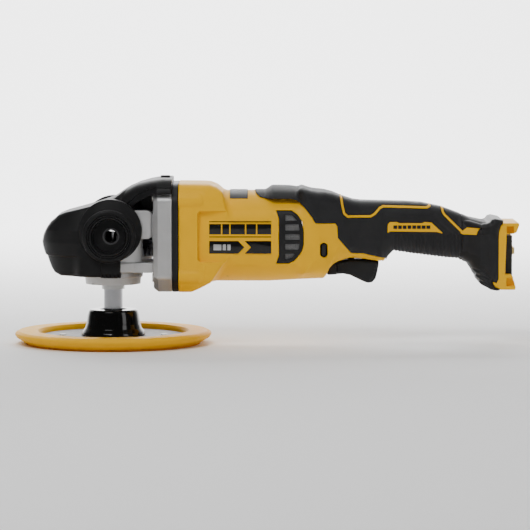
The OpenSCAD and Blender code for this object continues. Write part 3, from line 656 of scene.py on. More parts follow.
FINISHES = {
    finish.slot: finish
    for finish in (
        Finish(
            "yellow_nylon", (0.9, 0.47, 0.0), 0.42, size=0.6, depth=0.02,
            mottle=0.02, wear=0.04, shine=0.12),
        Finish("grip_rubber", (0.022, 0.022, 0.023), 0.5, size=0.7, depth=0.05, shine=0.14),
        Finish("boot_rubber", (0.012, 0.012, 0.0125), 0.42, size=0.8, depth=0.03, shine=0.12),
        Finish("black_plastic", (0.014, 0.014, 0.0145), 0.42, size=0.6, depth=0.03, shine=0.22),
        Finish("gloss_black", (0.002, 0.002, 0.002), 0.1, size=4.0, depth=0.01),
        Finish(
            "pad_urethane", (0.9, 0.46, 0.0), 0.5, size=0.8, depth=0.03,
            mottle=0.03, wear=0.03, shine=0.12),
        Finish("hook_fabric", (0.75, 0.28, 0.01), 0.95, grain=Grain.HOOKS, size=0.7, depth=0.4),
        Finish("pad_board", (0.28, 0.28, 0.29), 0.6, size=0.9, depth=0.06, mottle=0.12),
        Finish("cast_aluminium", (0.5, 0.5, 0.5), 0.4, 0.6, Grain.CAST, 0.9, 0.05, 0.05),
        Finish("ground_steel", (0.3, 0.3, 0.31), 0.2, 1.0, Grain.TURNED, 0.4, 0.01, 0.03),
        Finish("zinc_steel", (0.4, 0.4, 0.39), 0.3, 1.0, Grain.CAST, 0.8, 0.02, 0.06),
        Finish("gear_steel", (0.42, 0.42, 0.44), 0.32, 1.0, Grain.TURNED, 0.5, 0.02, 0.08),
        Finish("black_steel", (0.05, 0.05, 0.052), 0.38, 0.6, Grain.CAST, 0.6, 0.02, 0.1),
        Finish("copper_wire", (0.72, 0.28, 0.1), 0.32, 0.9, Grain.WOUND, 0.9, 0.35, 0.1),
        Finish("circuit_board", (0.02, 0.2, 0.07), 0.35, size=1.5, depth=0.05, mottle=0.2),
        Finish("screen_mesh", (0.16, 0.16, 0.16), 0.5, 0.7, Grain.MESH, 0.7, 0.5, 0.08),
        Finish("lead_rubber", (0.3, 0.02, 0.02), 0.5, size=0.8, depth=0.02),
        Finish("brass_blade", (0.8, 0.55, 0.22), 0.25, 1.0, Grain.CAST, 0.9, 0.02, 0.06),
    )
}


def dress(piece: bpy.types.Object, slot: str) -> bpy.types.Object:
    """Gives a piece the finish of a slot."""
    piece.data.materials.clear()
    piece.data.materials.append(FINISHES[slot].made())
    return piece


def fit(
    piece: bpy.types.Object, slot: str, body: str = BODY, stands_for: Sequence[str] = ()
) -> bpy.types.Object:
    """Dresses a piece and hangs it on its body.

    Args:
        piece: the new piece.
        slot: its finish.
        body: the body that it moves with.
        stands_for: the nodes that it stands for.

    Returns:
        The piece.
    """
    dress(piece, slot)
    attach(piece, body)
    if stands_for:
        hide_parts(*stands_for)
    LOG.info("%s: %d faces", piece.name, len(piece.data.polygons))
    return piece


# --- The tool's own shapes ---


BARREL_SIDE = [
    (60, 52), (88, 55), (140, 55), (166, 58), (190.5, 59.6), (193.6, 64.5), (197, 72),
    (215, 90), (215, 120), (196, 134), (186, 138), (172, 139.6), (150, 141), (60, 141)]
COLLAR_SIDE = [
    (60, 48.3), (71.5, 48.3), (89, 57.8), (104, 80), (104, 120), (99.5, 139), (94.5, 143.4),
    (88, 146.4), (60, 146.9)]
HANDLE_SIDE = [
    (172, 66), (196, 70.6), (199.5, 74.5), (204, 77.3), (214.5, 78.6), (226, 77.3), (240.5, 74.3),
    (245, 75.5), (247.8, 80.5), (252.6, 85.6), (270.7, 82.9), (285.2, 81.1), (299.7, 79.3),
    (311, 78.6), (320, 75), (326, 66), (330, 59), (346.5, 52), (350, 60), (350, 108.6),
    (333, 110.6), (321.4, 113.4), (310.6, 118), (296, 123.4), (278, 127.1), (263.5, 128),
    (223.6, 128.9), (216.4, 129.8), (205.5, 133), (198.2, 135.6), (191, 137.6), (172, 138.6)]
MOUTH_SIDE = [
    (192.6, 50), (193, 64), (195, 70), (198.4, 73.6), (203, 76.2), (214.5, 77.6), (226, 76.4),
    (240.5, 73.4), (262, 60), (262, 50)]
HALF_WIDTH = [
    (150, 41.5), (165, 40.5), (175, 39), (186, 36.5), (196, 32), (207, 27), (222, 22.5),
    (239, 20.6), (249, 19.8), (300, 19.6), (311, 20.6), (320, 25), (330, 32.5), (338, 36.5), (350, 38)]
GRIP_SIDE = [
    (127.6, 141.5), (129.5, 137), (133, 133.8), (138.4, 132.6), (160.2, 132.6), (165.6, 131.4),
    (169.2, 128.9), (174.1, 123.4), (178.9, 117.2), (182.6, 111.1), (200.4, 110.9), (202.4, 107.6),
    (202.8, 97.5), (214.9, 83.6), (225.9, 83), (238, 80.2), (246.5, 78), (247, 40), (349.5, 40),
    (349.5, 180), (127.6, 180)]
PANEL_SIDE = [
    (77.5, 78.5), (79.5, 76.5), (106, 76.5), (109, 78.8), (128, 78.8), (131, 76.5), (146, 76.5),
    (146, 122), (131, 122), (128, 119.2), (109, 119.2), (106, 122), (79.5, 122), (77.5, 120)]
SHIELD_SIDE = [
    (147.4, 122.4), (161.3, 122.4), (166.5, 118.6), (170.3, 113.4), (172.1, 104), (172.1, 92.3),
    (170.6, 86.5), (168.1, 82.5), (163.8, 77.6), (158.3, 75), (147.4, 75), (150, 81.8), (150, 114.9)]


def bare_body(x: Array, y: Array, z: Array) -> Array:
    """The housing's outside before its panels and openings.

    Args:
        x: along the tool.
        y: across it.
        z: height.

    Returns:
        The distance.
    """
    side = np.abs(y)
    tube = round_cut(np.hypot(side, z - DRIVE_Z) - 41.5, side - 39.2, 7)
    tube = round_cut(tube, outline(x, z, BARREL_SIDE), 3.5)
    tube = round_cut(tube, side - along(x, [(150, 60), (165, 44), (186, 37), (215, 24)]), 10)
    square = round_cut(side - 42, np.abs(z - 97.6) - 50.3, 17)
    collar = round_cut(square + 0.16 * np.maximum(x - 84, 0), outline(x, z, COLLAR_SIDE), 2.5)
    body = round_join(tube, collar, 5)
    for height in (131.5, 64):
        reach = np.maximum(np.maximum(62 - x, x - 77.5), 0)
        boss = np.sqrt(reach**2 + (side - 36) ** 2 + (z - height) ** 2) - 8.1
        body = round_join(body, np.maximum(boss, 60.3 - x), 0.5)
    handle = round_cut(outline(x, z, HANDLE_SIDE), side - along(x, HALF_WIDTH), 13)
    return round_join(body, handle, 8)


def raised(x: Array, z: Array) -> Array:
    """How far the soft grip stands above the housing.

    Args:
        x: along the tool.
        z: height.

    Returns:
        The thickness.
    """
    hump = ramp(x, 137, 145) * (1 - ramp(x, 158, 186)) * ramp(z, 112, 136)
    return 1.1 + 5.4 * hump


ACCENT_ONE = [
    (205.5, 137), (206.6, 127), (208.4, 119.3), (211.6, 116.5), (232.3, 116.4), (236, 118.6),
    (240.5, 123.6), (243.6, 125.2), (283, 124), (285.6, 125.3), (286, 130)]
ACCENT_TWO = [(296.5, 126.6), (297.4, 120), (299, 117.4), (314.8, 102)]
ACCENT_TAB = [(313.6, 101.6), (319, 106), (331.2, 105.8), (331.2, 100.8), (315.4, 100.8)]
BAND_SIDE = [
    (247.8, 101.9), (248.1, 109), (249.9, 110.9), (256.2, 110.9), (257.5, 109.9), (278.9, 109.9),
    (281, 110.9), (287, 110.4), (296.7, 101.2), (291.9, 102.4), (249.9, 102.9)]
HOLLOW_SIDE = [
    (241, 120), (290, 120), (312, 99), (322, 88), (322, 60), (241, 60)]


def grip_skin(x: Array, y: Array, z: Array) -> Array:
    """The soft grip's outer surface, with its hollow and ribs.

    Args:
        x: along the tool.
        y: across it.
        z: height.

    Returns:
        The distance.
    """
    skin = bare_body(x, y, z) - raised(x, z)
    on_side = ramp(np.abs(y), 9, 16)
    hollow = 1 - ramp(outline(x, z, HOLLOW_SIDE), -4, 0)
    skin = skin + 0.9 * hollow * on_side
    ribbed = ramp(x, 251.5, 253.5) * (1 - ramp(x, 312, 316)) * (1 - ramp(z, 99.6, 100.6))
    ribs = 0.5 - 0.5 * np.cos(2 * math.pi * (x - 252.6) / 3.2)
    return skin + 0.75 * ribbed * ribs


@dataclass
class Housing:
    """The two yellow housing halves with their label panel.

    Args:
        pitch: sampling step in millimetres.
        wall: wall thickness.
        panel_depth: how deep the label panels lie.
    """

    pitch: float = 0.75
    wall: float = 4.4
    panel_depth: float = 1.5

    def shell(self, x: Array, y: Array, z: Array) -> Array:
        """The left half's field.

        Args:
            x: along the tool.
            y: across it.
            z: height.

        Returns:
            The distance.
        """
        body = bare_body(x, y, z)
        side = np.abs(y)
        face = 39.2 - self.panel_depth
        grip = outline(x, z, GRIP_SIDE)
        solid = np.maximum(body, np.minimum(body + 2.4, -grip))
        panel = round_cut(outline(x, z, PANEL_SIDE), face - side, 0.8)
        solid = round_cut(solid, -panel, 0.6)
        solid = np.maximum(solid, -np.maximum(body + self.wall, side - face + 3.2))
        solid = np.maximum(solid, -np.maximum(outline(x, z, SHIELD_SIDE), 20 - side))
        slot = np.maximum(slab(x, 190, 243), z - 84)
        solid = np.maximum(solid, -np.maximum(slot, side - 12))
        mouth = outline(x, z, MOUTH_SIDE)
        solid = round_cut(solid, -mouth, 0.8)
        button = stroke(x, z, [(190, 83.8), (190, 90.2)], 6.4)
        solid = np.maximum(solid, -np.maximum(button, 20 - side))
        dial = np.maximum(slab(x, 106, 122), np.maximum(side - 21, 128 - z))
        solid = np.maximum(solid, -dial)
        solid = np.maximum(solid, x - 349)
        return np.maximum(solid, np.maximum(60.05 - x, y + 0.06))

    def build(self) -> None:
        """Makes both halves and the plain badges on their sides."""
        moulder = Moulder(self.pitch)
        left = moulder.cast("housing_half_left", self.shell, (60, -46.5, 46), (350, 0, 149))
        right = mirrored(left, "housing_half_right")
        fit(left, "yellow_nylon", stands_for=["housing_left"])
        fit(right, "yellow_nylon", stands_for=["housing_right"])
        self.badges()

    def badges(self) -> None:
        """Plain bars and badges in place of any lettering."""
        face = 39.2 - self.panel_depth
        bars = [
            [(87.7, 112.1), (143, 112.1), (143, 112.9), (87.7, 112.9)],
            [(87.7, 98.5), (143, 98.5), (143, 99.3), (87.7, 99.3)],
            [(87.7, 84), (113.5, 84), (119, 89.6), (113.5, 95.2), (87.7, 95.2)],
            [(119.5, 84), (143, 84), (143, 95.2), (119.5, 95.2), (125, 89.6)]]
        blocks = [(87.7, 98.2), (99.4, 105.6), (106.8, 119.6), (120.8, 129.4), (130.6, 143)]
        for start, end in blocks:
            bars.append([(start, 101.2), (end, 101.2), (end, 110.4), (start, 110.4)])
        parts = []
        for sign in (-1, 1):
            for i, points in enumerate(bars):
                low, high = sorted((sign * (face - 0.1), sign * (face + 0.18)))
                parts.append(plate(f"bar_{sign}_{i}", points, low, high, bevel=0.08))
        fit(joined("side_badges_plain", parts), "gloss_black", stands_for=["side_badges"])
        parts = []
        for sign in (-1, 1):
            for start, end in ((91.5, 98.5), (99.8, 102.6), (103.9, 106.7)):
                points = [(start, 87), (end, 87), (end, 92.2), (start, 92.2)]
                low, high = sorted((sign * face, sign * (face + 0.3)))
                parts.append(plate(f"mark_{sign}_{start}", points, low, high, bevel=0.06))
        fit(joined("badge_marks", parts), "cast_aluminium")


@dataclass
class Grip:
    """The black soft grip, its accent lines and its band.

    Args:
        pitch: sampling step in millimetres.
        line: width of the accent lines.
    """

    pitch: float = 0.62
    line: float = 2.1

    def accents(self, x: Array, z: Array, spare: float) -> Array:
        """The accents seen from the side.

        Args:
            x: along the tool.
            z: height.
            spare: extra width.

        Returns:
            The distance.
        """
        first = stroke(x, z, ACCENT_ONE, self.line)
        second = stroke(x, z, ACCENT_TWO, self.line)
        tab = outline(x, z, ACCENT_TAB) - 0.6
        band = outline(x, z, BAND_SIDE) - 0.3
        return np.minimum(np.minimum(first, second), np.minimum(tab, band)) - spare

    def shell(self, x: Array, y: Array, z: Array) -> Array:
        """The left grip's field.

        Args:
            x: along the tool.
            y: across it.
            z: height.

        Returns:
            The distance.
        """
        skin = grip_skin(x, y, z)
        side = np.abs(y)
        solid = round_cut(skin, outline(x, z, GRIP_SIDE), 0.7)
        solid = np.maximum(solid, -(bare_body(x, y, z) + 2.3))
        groove = np.maximum(self.accents(x, z, 0.3), -(skin + 0.8))
        solid = np.maximum(solid, -np.maximum(groove, 4 - side))
        solid = np.maximum(solid, -np.maximum(np.abs(x - 314.7) - 0.45, -(skin + 0.7)))
        button = stroke(x, z, [(190, 83.8), (190, 90.2)], 6.4)
        solid = np.maximum(solid, -np.maximum(button, 20 - side))
        solid = np.maximum(solid, -np.maximum(outline(x, z, SHIELD_SIDE) - 0.4, 20 - side))
        slot = np.maximum(slab(x, 190, 243), z - 84)
        solid = np.maximum(solid, -np.maximum(slot, side - 12))
        return np.maximum(solid, y + 0.06)

    def inlay(self, x: Array, y: Array, z: Array) -> Array:
        """The left accents' field.

        Args:
            x: along the tool.
            y: across it.
            z: height.

        Returns:
            The distance.
        """
        skin = grip_skin(x, y, z)
        flat = round_cut(self.accents(x, z, 0.0), skin - 0.15, 0.25)
        return np.maximum(np.maximum(flat, -(skin + 1.2)), y + 4)

    def marks(self, x: Array, y: Array, z: Array) -> Array:
        """The dark dashes on the left band, in place of lettering.

        Args:
            x: along the tool.
            y: across it.
            z: height.

        Returns:
            The distance.
        """
        skin = grip_skin(x, y, z)
        dash = np.maximum(slab(z, 104.9, 108.1), slab(x, 252.4, 286.4))
        dash = np.maximum(dash, np.abs((x - 252.4) % 4.25 - 2.1) - 1.8)
        return np.maximum(np.maximum(dash, skin - 0.35), np.maximum(-(skin + 0.5), y + 4))

    def build(self) -> None:
        """Makes both sides of the grip and their accents."""
        moulder = Moulder(self.pitch)
        left = moulder.cast("soft_grip_left", self.shell, (126, -47, 48), (350, 0, 148))
        right = mirrored(left, "soft_grip_right")
        fit(left, "grip_rubber", stands_for=["grip_left"])
        fit(right, "grip_rubber", stands_for=["grip_right"])
        fine = Moulder(0.42)
        inlay = fine.cast("accent_lines_left", self.inlay, (203, -31, 99), (334, -3, 138))
        fit(mirrored(inlay, "accent_lines_right"), "yellow_nylon")
        fit(inlay, "yellow_nylon")
        marks = fine.cast("band_marks_left", self.marks, (251, -31, 103), (288, -3, 110))
        fit(mirrored(marks, "band_marks_right"), "black_plastic")
        fit(marks, "black_plastic")


BOOT_SIDE = [
    (-64.6, 93.4), (-62.7, 99.1), (-59.1, 106), (-55.4, 111.2), (-51.8, 114),
    (-48.2, 117.6), (-41, 120.4), (-33.7, 122.2), (-26.5, 124), (-19.2, 126), (-12, 128.6),
    (-4.7, 130.6), (2.5, 133.2), (9.8, 138.4), (17, 142.8), (24.3, 146.2), (35.2, 149), (46, 150.6),
    (70, 150.2), (70, 122), (24, 118), (26, 64), (10, 63), (-46, 63), (-52, 65.4), (-55.4, 69.4),
    (-59.1, 77), (-62.7, 84.6), (-64.3, 89)]
ARCH_LIP = [
    (70, 137), (41, 137), (35, 135.6), (28, 132.4), (21, 127.6), (14, 120.5), (6, 112),
    (-10, 112), (-10, 180), (70, 180)]
ARCH_TIER = [
    (70, 142.6), (40, 142.8), (31, 140.4), (23, 136), (15, 129), (8, 120), (-10, 118),
    (-10, 180), (70, 180)]


@dataclass
class Boot:
    """The black rubber boot over the gear case, with its two side bosses.

    Args:
        pitch: sampling step in millimetres.
        radius: plan radius about the spindle.
        nose: plan radius of the nose.
    """

    pitch: float = 0.8
    radius: float = 43.6
    nose: float = 38.0

    def solid(self, x: Array, y: Array, z: Array) -> Array:
        """The boot's field.

        Args:
            x: along the tool.
            y: across it.
            z: height.

        Returns:
            The distance.
        """
        side = np.abs(y)
        profile = outline(x, z, BOOT_SIDE)
        plan = round_join(np.hypot(x, side) - self.radius, np.hypot(x + 26.6, side) - self.nose, 12)
        front = 1 - ramp(x, -36, -26)
        lean = 0.5 * np.maximum(z - 104, 0) + 0.2 * np.maximum(93 - z, 0) * front
        under = 1 - ramp(outline(x, z, [(-75, 81), (-26, 81), (-8, 60), (-75, 60)]), -0.6, 0.6)
        hood = round_cut(plan + lean + 2.4 * under * front, profile, 2.6)
        hood = np.maximum(hood, np.maximum(x - 30, np.minimum(x - 8.6, 116 - z)))
        width = along(x, [(6, 31), (24, 35), (34, 40), (41, 43.6), (53, 44.6)])
        lip = round_cut(round_cut(profile, side - width, 15), outline(x, z, ARCH_LIP), 1.2)
        tier = round_cut(profile, side - width - 1.6, 15)
        tier = round_cut(tier, outline(x, z, ARCH_TIER), 1.2)
        web = np.maximum(np.maximum(profile + 1, side - 19), 118 - z)
        arch = round_cut(np.minimum(np.minimum(lip, tier), web), x - 54.2, 0.8)
        boot = round_join(hood, np.maximum(arch, -6 - x), 1.6)
        grow = np.clip((side - 41) / 7, 0, 1)
        reach = np.hypot(x + 0.6 + 0.9 * grow, z - 104.4 + 4.6 * grow)
        cone = round_cut(reach - (28.1 - 4.4 * grow), side - 51, 2.4)
        cone = np.maximum(cone, 26 - side)
        boot = np.minimum(boot, cone)
        tab = round_cut(np.maximum(slab(x, -9, 8.6), slab(z, 62.4, 82)), slab(side, 34, 44.5), 1.4)
        ribs = np.abs((x + 9) % 3.5 - 1.75) - 0.7
        tab = np.maximum(tab, -np.maximum(np.maximum(ribs, z - 65.4), 41 - side))
        boot = np.minimum(boot, tab)
        for radius in (17.6, 19.5):
            ring = np.abs(np.hypot(x + 1.5, z - 99.6) - radius) - 0.42
            boot = np.maximum(boot, -np.maximum(ring, 50.2 - side))
        # Painted shade: the side-handle hole stops at |y| 39.4, so the boot keeps a black rubber floor
        # down to |y| 34 with only a small bore through it. This dark sheet stands in for the shade deep
        # inside the hole.
        hole = np.hypot(x + 1.5, z - 99.6) - 15.9 + 0.12 * np.maximum(50 - side, 0)
        boot = np.maximum(boot, -np.maximum(hole, 39.4 - side))
        boot = np.maximum(boot, -np.maximum(np.hypot(x, z - 99.5) - 5.6, 20 - side))
        room = np.maximum(np.hypot(x, side) - 41.3, slab(z, 66, 110))
        nose_room = np.maximum(np.hypot(x + 22, side) - 29, slab(z, 72, 100))
        inner = np.maximum(np.minimum(room, nose_room), side - 34)
        boot = np.maximum(boot, -inner)
        boot = np.maximum(boot, -(np.maximum(np.hypot(x, side) - 27.3, z - 66)))
        neck = np.maximum(np.hypot(side, z - DRIVE_Z) - 29.5, -x)
        boot = np.maximum(boot, -neck)
        flange = round_cut(side - 42.7, np.abs(z - 97.2) - 48.7, 17)
        boot = np.maximum(boot, -np.maximum(flange, 36.6 - x))
        lock = np.hypot(x - 47.6, side) - 4.7
        return np.maximum(boot, -np.maximum(lock, 140 - z))

    def build(self) -> None:
        """Makes the boot and the lock button in its arch."""
        boot = Moulder(self.pitch).cast("rubber_boot", self.solid, (-70, -53, 61), (56, 53, 153))
        fit(boot, "boot_rubber", stands_for=["gear_case_boot"])
        rounds = [math.radians(15 * k) for k in range(24)]
        button = joined("lock_button_cap", [
            plate("button_top", [(47.6 + 4.4 * math.cos(a), 4.4 * math.sin(a)) for a in rounds],
                  147.9, 152.4, Facing.UP, 0.8),
            plate("button_pin", [(47.6 + 2.2 * math.cos(a), 2.2 * math.sin(a)) for a in rounds],
                  118.5, 148, Facing.UP, 0.3)])
        fit(button, "black_plastic", "spindle_lock", ["spindle_lock_button"])


@dataclass
class GearCase:
    """The cast aluminium gear case with its flange, and the spacer behind it.

    Args:
        pitch: sampling step in millimetres.
    """

    pitch: float = 0.75

    def flange(self, x: Array, side: Array, z: Array) -> Array:
        """The square flange with its bevelled front.

        Args:
            x: along the tool.
            side: distance from the middle plane.
            z: height.

        Returns:
            The distance.
        """
        bevel = 0.8 * np.maximum(42 - x, 0)
        diagonal = (side + np.abs(z - 97.2)) * 0.7071 - 55
        square = round_cut(side - 42.6, np.abs(z - 97.2) - 48.2, 2)
        square = round_cut(square, diagonal, 1.6) + bevel
        return round_cut(square, slab(x, 37.6, 54.4), 0.9)

    def spacer(self, x: Array, y: Array, z: Array) -> Array:
        """The dark plate between the flange and the motor housing.

        Args:
            x: along the tool.
            y: across it.
            z: height.

        Returns:
            The distance.
        """
        side = np.abs(y)
        diagonal = (side + np.abs(z - 97.4)) * 0.7071 - 55.6
        square = round_cut(round_cut(side - 42.6, np.abs(z - 97.4) - 48.8, 3), diagonal, 4)
        sheet = round_cut(square, slab(x, 54.5, 60), 0.5)
        return np.maximum(sheet, 30.5 - np.hypot(side, z - DRIVE_Z))

    def solid(self, x: Array, y: Array, z: Array) -> Array:
        """The case's field.

        Args:
            x: along the tool.
            y: across it.
            z: height.

        Returns:
            The distance.
        """
        side = np.abs(y)
        pot = round_cut(round_cut(np.hypot(x, side) - 41.2, slab(z, 69, 116), 3), x - 28.6, 3)
        nose = round_cut(np.hypot(x + 22, side) - 28.6, slab(z, 74, 100), 3)
        throat = round_cut(np.hypot(x, side) - 27, slab(z, 60.5, 72), 1)
        neck = round_cut(np.hypot(side, z - DRIVE_Z) - 29, slab(x, 4, 27.4), 3)
        neck = np.minimum(neck, np.maximum(np.hypot(side, z - DRIVE_Z) - 17.6, slab(x, 20, 38)))
        ledge = round_cut(np.hypot(x, side) - 42.4, slab(z, 66.6, 75.6), 1.5)
        ledge = np.maximum(ledge, 5 - x)
        arm = round_cut(slab(x, 6, 37.5), np.maximum(slab(z, 66.6, 75.6), side - 37), 1.5)
        cheek = round_cut(slab(x, 4, 37.5), np.maximum(slab(z, 97, 122.4), side - 35 - 0.1 * x), 6)
        case = np.minimum(np.minimum(pot, nose), np.minimum(throat, neck))
        case = round_join(case, np.minimum(np.minimum(ledge, arm), cheek), 1.5)
        case = round_join(case, self.flange(x, side, z), 1)
        room = np.maximum(np.hypot(x, side) - 39.7, slab(z, 66, 106.5))
        room = np.minimum(room, np.maximum(np.hypot(x, side) - 14, slab(z, 61, 66.5)))
        shaft = np.maximum(np.hypot(side, z - DRIVE_Z) - 13.8, slab(x, 14, 46))
        stage = np.maximum(np.hypot(side, z - DRIVE_Z) - 23, slab(x, 44.7, 60))
        case = np.maximum(case, -np.minimum(room, np.minimum(shaft, stage)))
        lock = np.hypot(x - 47.6, side) - 3
        case = np.maximum(case, -np.maximum(lock, 110 - z))
        for height in (-1, 1):
            hole = np.hypot(side - 30, z - DRIVE_Z - height * 35.4) - 4.6
            case = np.maximum(case, -np.maximum(hole, x - 41))
        insert = np.maximum(np.hypot(x, z - 99.5) - 7.6, 24 - side)
        seat = np.maximum(np.hypot(x + 1, z - 99.6) - 18, 35.8 - side)
        return np.maximum(case, -np.minimum(insert, seat))

    def build(self) -> None:
        """Makes the case and the spacer between it and the motor."""
        case = Moulder(self.pitch).cast(
            "cast_gear_case", self.solid, (-52, -44.5, 48), (56, 44.5, 147))
        fit(case, "cast_aluminium", stands_for=["gear_case"])
        spacer = Moulder(self.pitch).cast(
            "motor_spacer", self.spacer, (53.5, -44.5, 46), (61.5, 44.5, 148))
        fit(spacer, "black_plastic", stands_for=["gear_plate"])


@dataclass
class BackingPad:
    """The round backing pad, its hub and its plate.

    Args:
        radius: outer radius in millimetres.
        height: height of the rim.
    """

    radius: float = 89.0
    height: float = 12.0

    def build(self) -> None:
        """Makes the rim, the hook face, the plate and the hub."""
        r = self.radius
        rim = turned("pad_rim_moulded", [
            (20, 1.5), (r - 10, 1.5), (r - 8.4, 2.2), (r - 1.6, 6.2), (r, 8.6), (r - 0.4, 10.2),
            (r - 3.6, self.height), (r - 20.6, self.height), (r - 22.4, 9.4), (r - 23.4, 5.2), (20, 5.2)],
            1.2, 192)
        fit(rim, "pad_urethane", SPINDLE, ["pad_rim"])
        hook = turned("hook_face_layer", [
            (2, 0), (r - 10.4, 0), (r - 10, 0.4), (r - 10, 1.45), (2, 1.45)], 0.3, 192)
        fit(hook, "hook_fabric", SPINDLE, ["hook_face"])
        disc = turned("pad_plate_board", [
            (13, 5.1), (r - 23.6, 5.1), (r - 23.6, 7.2), (13, 7.2)], 0.3, 160)
        fit(disc, "pad_board", SPINDLE, ["pad_plate"])
        hub = turned("pad_hub_gloss", [
            (13.2, 7.2), (28.6, 7.2), (29, 8.6), (28.2, 10.6), (25.6, 14), (24.4, 18), (23.2, 26),
            (22.2, 29.6), (20.6, 31), (12.6, 31), (10.6, 29.4), (9.4, 29.4), (9.4, 24), (13.2, 24)],
            1.1, 128)
        fit(hub, "gloss_black", SPINDLE, ["pad_hub"])


@dataclass
class IntakeShields:
    """The dark shields over the air intakes and the mesh behind them.

    Args:
        pitch: sampling step in millimetres.
    """

    pitch: float = 0.45

    def solid(self, x: Array, y: Array, z: Array) -> Array:
        """The left shield's field.

        Args:
            x: along the tool.
            y: across it.
            z: height.

        Returns:
            The distance.
        """
        skin = bare_body(x, y, z)
        frame = outline(x, z, SHIELD_SIDE) + 0.35
        shield = np.maximum(round_cut(frame, skin - 0.5, 0.6), -(skin + 2.4))
        row = np.abs((z - 98.7 + 4.35) % 8.7 - 4.35) - 2.75
        inner = np.maximum(outline(x, z, SHIELD_SIDE) + 3.4, slab(x, 155.4, 168.6))
        return np.maximum(shield, -round_cut(row, inner, 0.7))

    def mesh(self, x: Array, y: Array, z: Array) -> Array:
        """The left screen's field.

        Args:
            x: along the tool.
            y: across it.
            z: height.

        Returns:
            The distance.
        """
        skin = bare_body(x, y, z)
        weave = 0.12 * (np.cos(2 * math.pi * x / 1.5) + np.cos(2 * math.pi * z / 1.5))
        sheet = np.maximum(skin + 1.5 + weave, -(skin + 2.6))
        return np.maximum(sheet, outline(x, z, SHIELD_SIDE) + 0.05)

    def build(self) -> None:
        """Makes both shields and both screens."""
        for name, shape, slot, node in (
            ("intake_shield", self.solid, "black_plastic", "wool_shields"),
            ("intake_mesh", self.mesh, "screen_mesh", "intake_screens"),
        ):
            left = Moulder(self.pitch).cast(f"{name}_left", shape, (146, -42, 74), (173, -28, 123.5))
            right = mirrored(left, f"{name}_right")
            fit(left, slot, stands_for=[node])
            fit(right, slot)


@dataclass
class Trigger:
    """The trigger, with its pin hole and side cheeks.

    Args:
        half: half of the trigger's width.
    """

    half: float = 11.0

    def paddle(self, x: Array, y: Array, z: Array) -> Array:
        """The trigger's field.

        Args:
            x: along the tool.
            y: across it.
            z: height.

        Returns:
            The distance.
        """
        side = outline(x, z, [
            (193.4, 64), (194.4, 62.9), (208.1, 63.7), (214.5, 62.4), (220.9, 59.3), (228, 56),
            (231, 55.3), (234.4, 56), (237.4, 59.4), (239, 65.5), (240.4, 73), (240, 75.6),
            (215, 77), (196, 74), (193.6, 69)])
        cheek = self.half + 5 * (1 - ramp(x, 201, 203.5))
        body = round_cut(side, np.abs(y) - cheek, 2.6)
        pin = np.maximum(np.hypot(x - 197, z - 69) - 2.15, np.abs(y) - 15.4)
        return np.maximum(body, -pin)

    def build(self) -> None:
        """Makes the trigger."""
        paddle = Moulder(0.6).cast("trigger_paddle", self.paddle, (192, -17, 54), (242, 17, 78))
        fit(paddle, "black_plastic", "trigger_lever", ["trigger"])


@dataclass
class BatteryFoot:
    """The black foot and the yellow battery receptacle.

    Args:
        pitch: sampling step in millimetres.
        half: half of the receptacle's width.
    """

    pitch: float = 0.7
    half: float = 35.0
    foot_side: list[tuple[float, float]] = field(default_factory=lambda: [
        (312, 114), (321.4, 112.6), (331, 110), (335.5, 110.8), (338.6, 112),
        (340.4, 114.4), (343.4, 115.2), (350.6, 113.6),
        (350.4, 111.4), (348.6, 108.4), (346.8, 102), (345.2, 92), (344.2, 79),
        (343.8, 65.4), (341.8, 63.6), (341.6, 58.4), (344, 53.2), (349, 51), (345, 50.2),
        (338, 51.4), (331, 54.8), (327, 61), (324, 67.6), (320, 74.8), (312, 79.6)])

    def foot(self, x: Array, y: Array, z: Array) -> Array:
        """The foot's field.

        Args:
            x: along the tool.
            y: across it.
            z: height.

        Returns:
            The distance.
        """
        width = along(x, [(312, 19), (320, 25), (330, 33.5), (338, 37), (350, 38)])
        body = round_cut(outline(x, z, self.foot_side), np.abs(y) - width, 5)
        ribs = 0.5 - 0.5 * np.cos(2 * math.pi * (z + 0.45 * x) / 4.2)
        low = (1 - ramp(z, 68, 72)) * (1 - ramp(x, 337, 340))
        body = body + 1.1 * ribs * low
        room = np.maximum(slab(x, 334, 380), np.maximum(slab(z, 61, 110), np.abs(y) - 30.2))
        tab = np.maximum(outline(x, z, ACCENT_TAB) - 0.9, -(body + 2.6))
        return np.maximum(body, -np.minimum(room, np.maximum(tab, 6 - np.abs(y))))

    def receptacle(self, x: Array, y: Array, z: Array) -> Array:
        """The receptacle's field.

        Args:
            x: along the tool.
            y: across it.
            z: height.

        Returns:
            The distance.
        """
        side = np.abs(y)
        ring = outline(x, z, [
            (341.4, 63.8), (340.8, 62.6), (341.6, 56), (344.6, 53), (349, 51.2), (361.4, 51.2),
            (362, 53.4), (359.4, 63), (358, 64.8), (352.4, 65.2), (353.6, 101), (359.6, 101.4),
            (362.6, 102.8), (365, 109.4), (364.6, 111), (350.4, 111), (347.8, 108.8), (346, 102),
            (344.4, 92), (343.4, 79), (343, 64.6)])
        body = round_cut(ring, side - self.half, 1.2)
        pocket = np.maximum(slab(x, 353.6, 360), np.minimum(slab(z, 102.2, 108), slab(z, 54.6, 61.8)))
        body = np.maximum(body, -np.maximum(pocket, self.half - 5 - side))
        room = np.maximum(slab(z, 64.4, 101.4), side - 24)
        return np.maximum(body, -room)

    def build(self) -> None:
        """Makes the foot and the receptacle."""
        foot = Moulder(self.pitch).cast("battery_foot", self.foot, (311, -39, 48), (359, 39, 121.5))
        fit(foot, "black_plastic")
        ring = Moulder(0.6).cast("battery_frame", self.receptacle, (340, -36, 50), (368.5, 36, 115.5))
        fit(ring, "yellow_nylon", stands_for=["battery_receptacle"])


TARGET = (0.1375, 0.0, 0.0709)


